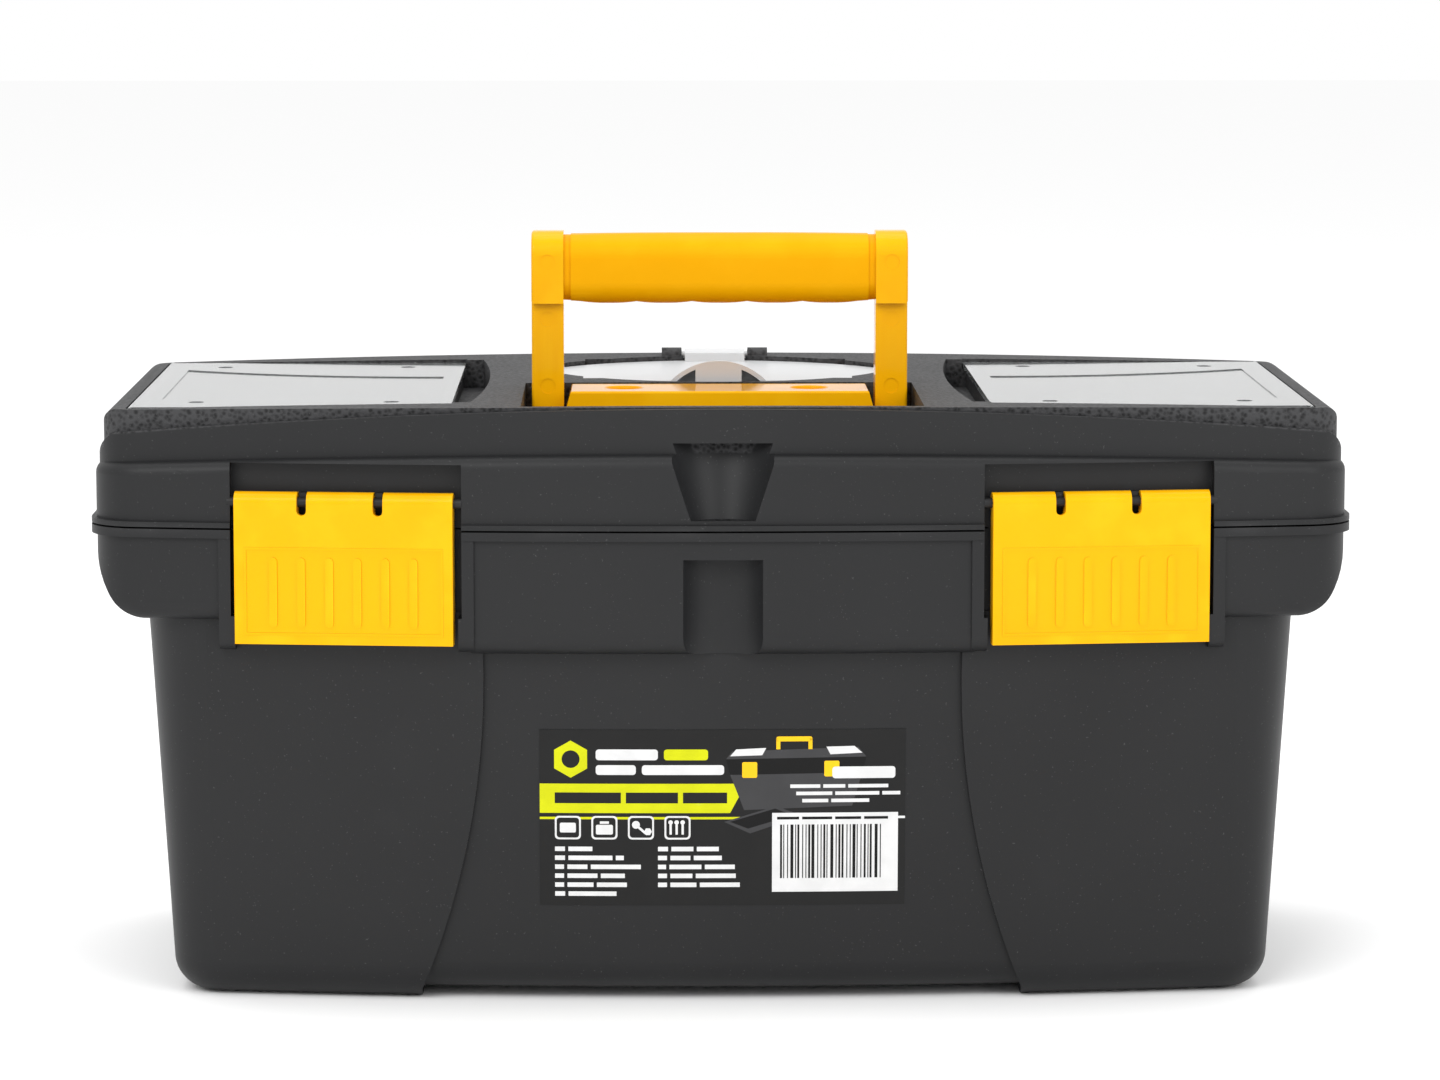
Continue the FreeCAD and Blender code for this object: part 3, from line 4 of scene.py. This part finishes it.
import bpy
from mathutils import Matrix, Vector


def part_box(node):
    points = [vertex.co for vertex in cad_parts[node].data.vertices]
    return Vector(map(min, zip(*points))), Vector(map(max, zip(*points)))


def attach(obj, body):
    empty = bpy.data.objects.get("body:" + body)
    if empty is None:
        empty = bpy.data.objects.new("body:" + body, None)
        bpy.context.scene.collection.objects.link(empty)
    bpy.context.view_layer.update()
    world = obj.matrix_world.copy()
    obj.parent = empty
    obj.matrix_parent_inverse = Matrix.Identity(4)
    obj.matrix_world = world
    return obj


MM = 0.001

# Where the camera stands and how it is turned.
CAMERA_AT = Vector((-26.6, -1762.0, 363.0)) * MM
CAMERA_YAW = math.radians(0.885)
CAMERA_PITCH = math.radians(7.18)
CAMERA_LENS = 130
SENSOR_WIDTH = 36

# Sizes the finish and the label need, in mm, from the CAD model.
LIP_Y = 107.5  # half depth of the case at the lid's lip
BOW = 1200.0  # radius of the bowed front and back
PANEL_Y = 98.0  # half depth at the front panel's upper edge
PANEL_TOP_Z = 130.0
DRAFT = math.tan(math.radians(3.5))
CREST_TOP = 196.0  # the lid's top at the middle, falling by x * x / CREST_FALL
CREST_FALL = 4000.0
RIM_WIDTH = 12.0  # satin rim around the grained top
GRAIN_FROM_Z = 181.0  # the grain starts above this height

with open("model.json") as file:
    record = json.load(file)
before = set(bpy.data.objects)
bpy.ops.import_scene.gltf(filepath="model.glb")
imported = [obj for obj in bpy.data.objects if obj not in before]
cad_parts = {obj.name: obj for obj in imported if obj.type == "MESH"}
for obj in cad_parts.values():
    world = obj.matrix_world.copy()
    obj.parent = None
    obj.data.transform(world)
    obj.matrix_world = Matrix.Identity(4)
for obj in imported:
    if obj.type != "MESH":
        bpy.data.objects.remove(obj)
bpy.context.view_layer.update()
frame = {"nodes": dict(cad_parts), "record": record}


# ------------------------------------------------------------------ node helpers
class Nodes:
    """A material's node tree, built from the output backwards with short calls."""

    def __init__(self, name):
        self.material = bpy.data.materials.new(name)
        self.material.use_nodes = True
        self.tree = self.material.node_tree
        self.tree.nodes.clear()
        self.output = self.add("ShaderNodeOutputMaterial")
        self.shader = self.add("ShaderNodeBsdfPrincipled")
        self.link(self.shader.outputs[0], self.output.inputs[0])
        self.place = self.add("ShaderNodeTexCoord").outputs["Object"]

    def add(self, kind, **settings):
        node = self.tree.nodes.new(kind)
        for key, value in settings.items():
            setattr(node, key, value)
        return node

    def link(self, source, target):
        self.tree.links.new(source, target)

    def feed(self, socket, value):
        if isinstance(value, bpy.types.NodeSocket):
            self.link(value, socket)
        else:
            socket.default_value = value

    def math(self, operation, a, b=0.0):
        node = self.add("ShaderNodeMath", operation=operation)
        for socket, value in zip(node.inputs, (a, b)):
            self.feed(socket, value)
        return node.outputs[0]

    def remap(self, value, low, high):
        """0 up to low, 1 from high, and a smooth rise between them."""
        node = self.add("ShaderNodeMapRange", clamp=True, interpolation_type="SMOOTHSTEP")
        for socket, item in zip(node.inputs, (value, low, high)):
            self.feed(socket, item)
        return node.outputs[0]

    def mix(self, share, a, b):
        node = self.add("ShaderNodeMix", data_type="RGBA")
        self.feed(node.inputs[0], share)
        self.feed(node.inputs[6], a)
        self.feed(node.inputs[7], b)
        return node.outputs[2]

    def noise(self, scale, detail=3.0, rough=0.5, stretch=None):
        node = self.add("ShaderNodeTexNoise")
        node.inputs["Scale"].default_value = scale
        node.inputs["Detail"].default_value = detail
        node.inputs["Roughness"].default_value = rough
        source = self.place
        if stretch:
            mapping = self.add("ShaderNodeMapping")
            mapping.inputs["Scale"].default_value = stretch
            self.link(source, mapping.inputs["Vector"])
            source = mapping.outputs[0]
        self.link(source, node.inputs["Vector"])
        return node.outputs[0]

    def cells(self, scale):
        node = self.add("ShaderNodeTexVoronoi", feature="F1")
        node.inputs["Scale"].default_value = scale
        self.link(self.place, node.inputs["Vector"])
        return node.outputs["Distance"]

    def xyz(self):
        node = self.add("ShaderNodeSeparateXYZ")
        self.link(self.place, node.inputs[0])
        return node.outputs

    def bump(self, height, strength, distance, below=None):
        node = self.add("ShaderNodeBump")
        self.feed(node.inputs["Strength"], strength)
        self.feed(node.inputs["Distance"], distance)
        self.link(height, node.inputs["Height"])
        if below is not None:
            self.link(below, node.inputs["Normal"])
        return node.outputs[0]

    def edges(self, low=0.52, high=0.62):
        """1 along sharp convex edges, 0 elsewhere."""
        geometry = self.add("ShaderNodeNewGeometry")
        return self.remap(geometry.outputs["Pointiness"], low, high)

    def set(self, **values):
        for name, value in values.items():
            self.feed(self.shader.inputs[name.replace("_", " ")], value)
        return self.material


def rgb(red, green, blue):
    return (red, green, blue, 1.0)


def plastic(name, deep, edge_highlight_colour, rough, grain_scale, grain_depth, specular=0.5, coat=0.0):
    """Moulded plastic with a fine grain, faint flow clouding and a painted edge highlight: paler sharp
    convex edges, broken up by noise.
    """
    n = Nodes(name)
    clouds = n.remap(n.noise(9.0, 4.0), 0.3, 0.7)
    grain = n.noise(grain_scale, 2.0, 0.6)
    # Painted edge highlight: sharp convex edges, broken up by noise, are mixed towards the paler colour.
    edge_highlight = n.math("MULTIPLY", n.edges(), n.remap(n.noise(60.0), 0.4, 0.7))
    tone = n.mix(n.math("MULTIPLY", clouds, 0.5), deep, tuple(0.86 * c for c in deep[:3]) + (1.0,))
    colour = n.mix(n.math("MULTIPLY", edge_highlight, 0.5), tone, edge_highlight_colour)
    roughness = n.math("ADD", rough, n.math("MULTIPLY", n.math("SUBTRACT", n.noise(35.0, 4.0), 0.5), 0.12))
    n.shader.inputs["Specular IOR Level"].default_value = specular
    n.shader.inputs["Coat Weight"].default_value = coat
    n.shader.inputs["Coat Roughness"].default_value = 0.1
    n.shader.inputs["Coat IOR"].default_value = 1.15
    return n.set(Base_Color=colour, Roughness=roughness, Normal=n.bump(grain, 0.35, grain_depth))


def case_plastic(name):
    """Black case plastic: satin on the walls, leather-like grain on the lid's raised flat top."""
    n = Nodes(name)
    x, y, z = n.xyz()
    bow = n.math("MULTIPLY", n.math("MULTIPLY", x, x), 1 / (2 * BOW * MM))
    depth = n.math("SUBTRACT", n.math("SUBTRACT", LIP_Y * MM, n.math("ABSOLUTE", y)), bow)
    fall = n.math("MULTIPLY", n.math("MULTIPLY", x, x), 1 / (CREST_FALL * MM))
    crest = n.math("SUBTRACT", CREST_TOP * MM, fall)
    above = n.remap(n.math("SUBTRACT", z, crest), -0.0002, 0.0006)
    inside = n.remap(depth, (RIM_WIDTH - 0.5) * MM, (RIM_WIDTH + 0.5) * MM)
    high = n.remap(z, (GRAIN_FROM_Z - 0.5) * MM, (GRAIN_FROM_Z + 0.5) * MM)
    textured = n.math("MULTIPLY", n.math("MAXIMUM", above, n.math("MULTIPLY", inside, high)), high)
    clouds = n.remap(n.noise(7.0, 5.0), 0.3, 0.7)
    satin = n.mix(clouds, rgb(0.0125, 0.0128, 0.0136), rgb(0.0098, 0.01, 0.0107))
    leather_cells = n.cells(620.0)
    leather_fine = n.noise(900.0, 4.0, 0.65)
    leather = n.math("ADD", n.math("MULTIPLY", leather_cells, 0.7), n.math("MULTIPLY", leather_fine, 0.5))
    pits = n.remap(leather, 0.3, 0.75)
    top = n.mix(pits, rgb(0.008, 0.008, 0.0085), rgb(0.042, 0.042, 0.044))
    colour = n.mix(textured, satin, top)
    dust = n.math("MULTIPLY", n.remap(n.noise(1400.0, 1.0), 0.73, 0.77), 0.12)
    # Painted edge highlight: sharp convex edges, broken up by noise, are mixed towards a paler grey.
    edge_highlight = n.math("MULTIPLY", n.edges(0.53, 0.64), n.remap(n.noise(45.0, 5.0), 0.42, 0.75))
    colour = n.mix(n.math("MULTIPLY", edge_highlight, 0.35), colour, rgb(0.05, 0.05, 0.052))
    colour = n.mix(dust, colour, rgb(0.3, 0.3, 0.3))
    rough_walls = n.math("ADD", 0.42, n.math("MULTIPLY", n.noise(30.0, 5.0), 0.1))
    roughness = n.math("ADD", rough_walls, n.math("MULTIPLY", textured, 0.12))
    fine = n.bump(n.noise(2300.0, 2.0, 0.7), 0.3, 0.00004)
    coarse = n.bump(leather, n.math("MULTIPLY", textured, 0.85), 0.00035, below=fine)
    n.shader.inputs["Specular IOR Level"].default_value = 0.26
    return n.set(Base_Color=colour, Roughness=roughness, Normal=coarse)


def clear_plastic(name, tint, rough, milk):
    """See-through plastic with faint moulding ripples and fine scratches."""
    n = Nodes(name)
    ripple = n.noise(55.0, 2.0, 0.4)
    scratch = n.noise(160.0, 6.0, 0.75, stretch=(0.4, 9.0, 1.0))
    marks = n.remap(scratch, 0.66, 0.74)
    colour = n.mix(n.math("MULTIPLY", marks, 0.3), tint, rgb(0.95, 0.96, 0.96))
    roughness = n.math("ADD", rough, n.math("MULTIPLY", marks, 0.18))
    n.shader.inputs["IOR"].default_value = 1.52
    n.shader.inputs["Transmission Weight"].default_value = 1.0 - milk
    return n.set(Base_Color=colour, Roughness=roughness, Normal=n.bump(ripple, 0.12, 0.0004))


def pin_steel(name):
    """Drawn steel with fine lines along the pin."""
    n = Nodes(name)
    drawn = n.noise(300.0, 4.0, 0.6, stretch=(0.15, 6.0, 6.0))
    colour = n.mix(n.remap(drawn, 0.3, 0.7), rgb(0.42, 0.42, 0.43), rgb(0.58, 0.58, 0.58))
    n.shader.inputs["Metallic"].default_value = 1.0
    roughness = n.math("ADD", 0.25, n.math("MULTIPLY", drawn, 0.15))
    return n.set(Base_Color=colour, Roughness=roughness, Normal=n.bump(drawn, 0.2, 0.00005))


def ink(name, colour):
    """Printed film: the ink's colour with a faint dot screen, slight mottling and soft scuffs."""
    n = Nodes(name)
    screen = n.cells(3200.0)
    mottle = n.noise(120.0, 4.0)
    darker = tuple(c * 0.88 for c in colour[:3]) + (1.0,)
    tone = n.mix(n.math("MULTIPLY", n.remap(mottle, 0.35, 0.65), 0.6), colour, darker)
    scuff = n.math("MULTIPLY", n.remap(n.noise(75.0, 7.0, 0.8, stretch=(1.0, 1.0, 5.0)), 0.64, 0.72), 0.12)
    tone = n.mix(scuff, tone, rgb(0.5, 0.5, 0.5))
    n.shader.inputs["Specular IOR Level"].default_value = 0.16
    roughness = n.math("ADD", 0.42, n.math("MULTIPLY", screen, 0.06))
    return n.set(Base_Color=tone, Roughness=roughness, Normal=n.bump(mottle, 0.06, 0.0002))


# Each second, paler colour is the painted edge highlight that plastic() mixes in along sharp convex edges.
TRAY = rgb(0.02, 0.02, 0.021)
TRAY_EDGE_HIGHLIGHT = rgb(0.08, 0.08, 0.08)
YELLOW = rgb(0.82, 0.39, 0.0)
YELLOW_EDGE_HIGHLIGHT = rgb(0.86, 0.46, 0.005)
GRIP = rgb(0.77, 0.35, 0.0)
GRIP_EDGE_HIGHLIGHT = rgb(0.82, 0.41, 0.005)

finishes = {
    "black_shell": case_plastic("black shell"),
    "tray_plastic": plastic(
        "tray plastic", TRAY, TRAY_EDGE_HIGHLIGHT,
        rough=0.45, grain_scale=1600.0, grain_depth=0.00006),
    "yellow_plastic": plastic(
        "yellow plastic", YELLOW, YELLOW_EDGE_HIGHLIGHT,
        rough=0.4, grain_scale=1500.0, grain_depth=0.00003, specular=0.06, coat=0.9),
    "yellow_grip": plastic(
        "yellow grip", GRIP, GRIP_EDGE_HIGHLIGHT,
        rough=0.45, grain_scale=1300.0, grain_depth=0.00005, specular=0.05),
    "clear_plastic": clear_plastic("clear plastic", rgb(0.68, 0.7, 0.7), rough=0.09, milk=0.12),
    "milky_plastic": clear_plastic("milky plastic", rgb(0.72, 0.73, 0.74), rough=0.3, milk=0.72),
    "label_film": ink("label film", rgb(0.012, 0.012, 0.012)),
    "steel_pin": pin_steel("steel pin"),
}


# ------------------------------------------------------------------ CAD nodes
slot_of = {row["node"]: row["material_slot"] for row in frame["record"]["subparts"]}
for name, node in frame["nodes"].items():
    node.data.materials.clear()
    node.data.materials.append(finishes[slot_of[name]])
    node.data.shade_smooth()
    node.data.set_sharp_from_angle(angle=math.radians(32))


# ------------------------------------------------------------------ printed label
label_low, label_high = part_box("front_label")
LABEL_LEFT = label_low.x / MM
LABEL_TOP = label_high.z / MM
FILM_THICK = 0.2
INK_STEP = 0.02  # each layer of ink lies this much further out, so that none share a face
STRIP_WIDTH = 2.94  # widest strip that a printed shape is cut into
STRIPE = 0.326  # one module of the striped panel

inks = {
    "dark": finishes["label_film"],
    "lime": ink("ink lime", rgb(0.56, 0.58, 0.003)),
    "white": ink("ink white", rgb(0.66, 0.66, 0.66)),
    "grey": ink("ink grey", rgb(0.045, 0.045, 0.047)),
    "amber": ink("ink amber", rgb(0.85, 0.5, 0.01)),
    "black": ink("ink black", rgb(0.006, 0.006, 0.006)),
}


def panel_y(x, z, lift):
    """Y of the drafted, bowed front panel, in mm, moved outwards by the lift."""
    drop = (PANEL_TOP_Z - z) * DRAFT
    radius = BOW - drop + lift
    return -PANEL_Y + BOW - math.sqrt(radius * radius - x * x)


def clipped(outline, edge, side):
    """The part of a convex outline with u above the edge (side 1) or below it (side -1)."""
    kept = []
    for (u0, v0), (u1, v1) in zip(outline, outline[1:] + outline[:1]):
        start_inside = side * (u0 - edge) >= 0
        end_inside = side * (u1 - edge) >= 0
        if start_inside:
            kept.append((u0, v0))
        if start_inside != end_inside:
            kept.append((edge, v0 + (v1 - v0) * (edge - u0) / (u1 - u0)))
    return kept


class Print:
    """Shapes laid out in mm from the label's top left corner and wrapped on the front panel.

    u runs to the right and v runs down.
    """

    def __init__(self):
        self.points = []
        self.faces = []
        self.slots = []
        self.names = list(inks)

    def spot(self, u, v, lift):
        x = LABEL_LEFT + u
        z = LABEL_TOP - v
        self.points.append(Vector((x, panel_y(x, z, lift), z)) * MM)
        return len(self.points) - 1

    def shape(self, outline, colour, level=1):
        """Convex outline, cut into upright strips that follow the bow."""
        lift = FILM_THICK + INK_STEP * (level + 1)
        left = min(u for u, v in outline)
        right = max(u for u, v in outline)
        count = max(1, math.ceil((right - left) / STRIP_WIDTH))
        for i in range(count):
            low = left + (right - left) * i / count
            high = left + (right - left) * (i + 1) / count
            strip = clipped(clipped(outline, low, 1), high, -1)
            if len(strip) > 2:
                self.faces.append([self.spot(u, v, lift) for u, v in reversed(strip)])
                self.slots.append(self.names.index(colour))

    def bar(self, u0, v0, u1, v1, colour, level=1):
        self.shape([(u0, v0), (u1, v0), (u1, v1), (u0, v1)], colour, level)

    def rounded(self, u0, v0, u1, v1, r, colour, level=1):
        outline = []
        centres = ((u1 - r, v0 + r), (u1 - r, v1 - r), (u0 + r, v1 - r), (u0 + r, v0 + r))
        for quarter, (cu, cv) in enumerate(centres):
            for k in range(5):
                a = math.radians(90 * (quarter - 1) + 22.5 * k)
                outline.append((cu + r * math.cos(a), cv + r * math.sin(a)))
        self.shape(outline, colour, level)

    def disc(self, cu, cv, r, colour, level=1, sides=20, turn=0.0):
        angles = [turn + 2 * math.pi * k / sides for k in range(sides)]
        self.shape([(cu + r * math.cos(a), cv + r * math.sin(a)) for a in angles], colour, level)

    def line(self, u0, v0, u1, v1, wide, colour, level=1):
        length = math.hypot(u1 - u0, v1 - v0)
        du = -(v1 - v0) / length * wide / 2
        dv = (u1 - u0) / length * wide / 2
        corners = [(u0 - du, v0 - dv), (u1 - du, v1 - dv), (u1 + du, v1 + dv), (u0 + du, v0 + dv)]
        self.shape(corners, colour, level)

    def build(self, name):
        mesh = bpy.data.meshes.new(name)
        mesh.from_pydata([tuple(p) for p in self.points], [], self.faces)
        for key in self.names:
            mesh.materials.append(inks[key])
        for face, index in zip(mesh.polygons, self.slots):
            face.material_index = index
        mesh.update()
        made = bpy.data.objects.new(name, mesh)
        bpy.context.scene.collection.objects.link(made)
        return made


def greeked(art, u0, v, widths, high, colour, gap, level=1):
    """A row of short bars standing for a line of text."""
    for wide in widths:
        art.bar(u0, v, u0 + wide, v + high, colour, level)
        u0 += wide + gap


def label_art():
    """The whole print: a plain mark, bars in place of words, icons, a drawing and stripes."""
    art = Print()
    # mark and title bars
    art.disc(10.11, 9.78, 6.19, "lime", 1, 6, math.radians(30))
    art.disc(10.11, 9.78, 2.93, "dark", 2, 24)
    art.rounded(18.26, 6.52, 38.47, 10.11, 0.98, "white")
    art.rounded(40.43, 6.52, 54.77, 10.11, 0.98, "lime")
    art.rounded(18.26, 11.74, 31.3, 15.0, 0.98, "white")
    art.rounded(33.25, 11.74, 59.99, 15.0, 0.98, "white")
    # lime band with a slanted end
    art.shape([(0.0, 17.93), (67.16, 17.93), (61.95, 27.71), (0.0, 27.71)], "lime")
    greeked(art, 4.89, 20.87, (21.52, 16.95, 14.35), 3.59, "dark", 1.63, 2)
    art.bar(0.0, 29.02, 97.81, 29.8, "lime")
    art.bar(97.81, 29.02, 119.0, 29.8, "white")
    # four outlined square icons
    for i in range(4):
        u = 4.89 + i * 11.9
        art.rounded(u, 28.69, u + 8.48, 36.52, 1.3, "white", 2)
        art.rounded(u + 0.59, 29.28, u + 7.89, 35.93, 0.98, "dark", 3)
    art.rounded(6.52, 30.97, 11.74, 34.23, 0.49, "white", 4)
    art.rounded(18.26, 31.62, 23.8, 34.88, 0.49, "white", 4)
    art.bar(19.56, 30.48, 22.5, 31.3, "white", 4)
    art.disc(31.3, 31.62, 1.3, "white", 4)
    art.disc(35.21, 33.91, 1.3, "white", 4, 6)
    art.line(31.62, 31.95, 34.56, 34.56, 0.78, "white", 5)
    for k in range(3):
        u = 42.22 + k * 1.96
        art.bar(u, 30.32, u + 0.75, 34.88, "white", 4)
        art.disc(u + 0.36, 30.81, 0.75, "white", 5, 12)
    # two columns of greeked lines
    left = (
        (3.26, 7.82), (3.26, 14.35, 2.61), (2.93, 6.52, 16.3),
        (2.93, 9.78, 7.82), (2.93, 8.48, 9.78), (3.26, 15.65))
    right = (
        (3.26, 7.17, 7.17), (2.93, 6.52, 9.13), (2.61, 10.43, 9.78),
        (2.93, 7.17, 13.04), (2.93, 8.48, 13.04))
    for i, row in enumerate(left):
        greeked(art, 4.89, 38.96 + i * 3.0, row, 1.5, "white", 1.11)
    for i, row in enumerate(right):
        greeked(art, 38.47, 38.96 + i * 3.0, row, 1.5, "white", 1.11)
    # small drawing of an open case over a tray
    art.shape([(62.6, 7.17), (103.68, 5.87), (106.28, 9.13), (60.64, 9.78)], "grey", 2)
    art.shape([(63.9, 6.52), (73.68, 6.06), (72.38, 8.48), (61.95, 8.8)], "white", 3)
    art.shape([(93.24, 5.74), (102.37, 5.54), (104.98, 7.82), (94.55, 8.28)], "white", 3)
    art.shape([(60.64, 9.78), (106.28, 9.13), (104.98, 14.35), (61.95, 15.0)], "black", 3)
    art.shape([(61.95, 15.0), (104.98, 14.35), (101.72, 25.43), (66.51, 26.73)], "grey", 2)
    art.rounded(76.94, 2.28, 88.68, 3.91, 0.65, "amber", 4)
    art.bar(76.94, 2.93, 78.25, 6.52, "amber", 4)
    art.bar(87.38, 2.93, 88.68, 6.52, "amber", 4)
    art.rounded(65.86, 10.76, 70.75, 15.98, 0.49, "amber", 4)
    art.rounded(92.59, 10.43, 97.48, 15.65, 0.49, "amber", 4)
    art.shape([(59.99, 30.65), (76.94, 25.43), (85.42, 28.69), (68.47, 34.56)], "grey", 3)
    art.shape([(61.95, 30.65), (76.62, 26.25), (82.16, 28.53), (67.81, 32.93)], "black", 4)
    # code bar, small print and a generic striped panel
    art.rounded(95.2, 12.39, 115.74, 16.3, 0.98, "white", 5)
    for i, row in enumerate(((9.78, 7.17, 13.04), (11.74, 14.35, 5.87), (8.48, 12.39))):
        greeked(art, 81.51 + i * 1.96, 18.26 + i * 2.41, row, 1.17, "white", 0.98, 5)
    art.bar(75.64, 27.71, 116.72, 54.12, "white", 5)
    greeked(art, 77.27, 29.02, (7.17, 9.78, 8.48, 7.82), 0.91, "black", 0.98, 6)
    u = 78.25
    widths = (2, 1, 1, 3, 1, 2, 1, 1, 2, 3, 1, 1, 2, 1, 3, 1, 2, 2, 1, 1, 3, 1, 1, 2, 1, 2, 3, 1)
    for k, wide in enumerate(widths):
        art.bar(u, 31.62, u + wide * STRIPE, 49.56, "black", 6)
        u += (wide + 1.2 + 0.55 * (k * 7 % 4)) * STRIPE
    return art.build("label_print")


label_print = label_art()
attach(label_print, "base")


# ------------------------------------------------------------------ studio
def flat_sheet(name, half_x, y0, y1, z):
    corners = [(-half_x, y0, z), (half_x, y0, z), (half_x, y1, z), (-half_x, y1, z)]
    mesh = bpy.data.meshes.new(name)
    mesh.from_pydata(corners, [], [(0, 1, 2, 3)])
    made = bpy.data.objects.new(name, mesh)
    bpy.context.scene.collection.objects.link(made)
    return made


def floor_paint():
    n = Nodes("studio floor")
    paper = n.noise(40.0, 5.0)
    colour = n.mix(paper, rgb(0.955, 0.955, 0.955), rgb(0.965, 0.965, 0.965))
    n.shader.inputs["Specular IOR Level"].default_value = 0.0
    return n.set(Base_Color=colour, Roughness=0.95)


floor = flat_sheet("floor", half_x=6.0, y0=-6.0, y1=8.0, z=-0.0002)
floor.data.materials.append(floor_paint())


def lamp(name, at, aim, size, power):
    data = bpy.data.lights.new(name, "AREA")
    data.shape = "RECTANGLE"
    data.size, data.size_y = size
    data.energy = power
    made = bpy.data.objects.new(name, data)
    made.location = at
    made.rotation_euler = (Vector(aim) - Vector(at)).to_track_quat("-Z", "Y").to_euler()
    bpy.context.scene.collection.objects.link(made)


lamp("key", at=(-0.9, -1.7, 1.6), aim=(0, 0, 0.12), size=(1.4, 1.0), power=22)
lamp("fill", at=(1.3, -1.6, 1.1), aim=(0, 0, 0.1), size=(1.2, 1.2), power=12)
lamp("top", at=(0, 0.3, 2.0), aim=(0, 0, 0.15), size=(1.8, 1.2), power=14)

world = bpy.data.worlds.new("studio")
world.use_nodes = True
background = world.node_tree.nodes["Background"]
background.inputs["Color"].default_value = rgb(1.0, 1.0, 1.0)
background.inputs["Strength"].default_value = 1.0
bpy.context.scene.world = world
bpy.context.scene.view_settings.view_transform = "Standard"

camera = bpy.data.objects.new("camera", bpy.data.cameras.new("camera"))
camera.data.lens = CAMERA_LENS
camera.data.sensor_width = SENSOR_WIDTH
camera.data.dof.use_dof = False
level = math.cos(CAMERA_PITCH)
forward = Vector((math.sin(CAMERA_YAW) * level, math.cos(CAMERA_YAW) * level, -math.sin(CAMERA_PITCH)))
camera.location = CAMERA_AT
camera.rotation_mode = "QUATERNION"
camera.rotation_quaternion = forward.to_track_quat("-Z", "Y")
bpy.context.scene.collection.objects.link(camera)
bpy.context.scene.camera = camera
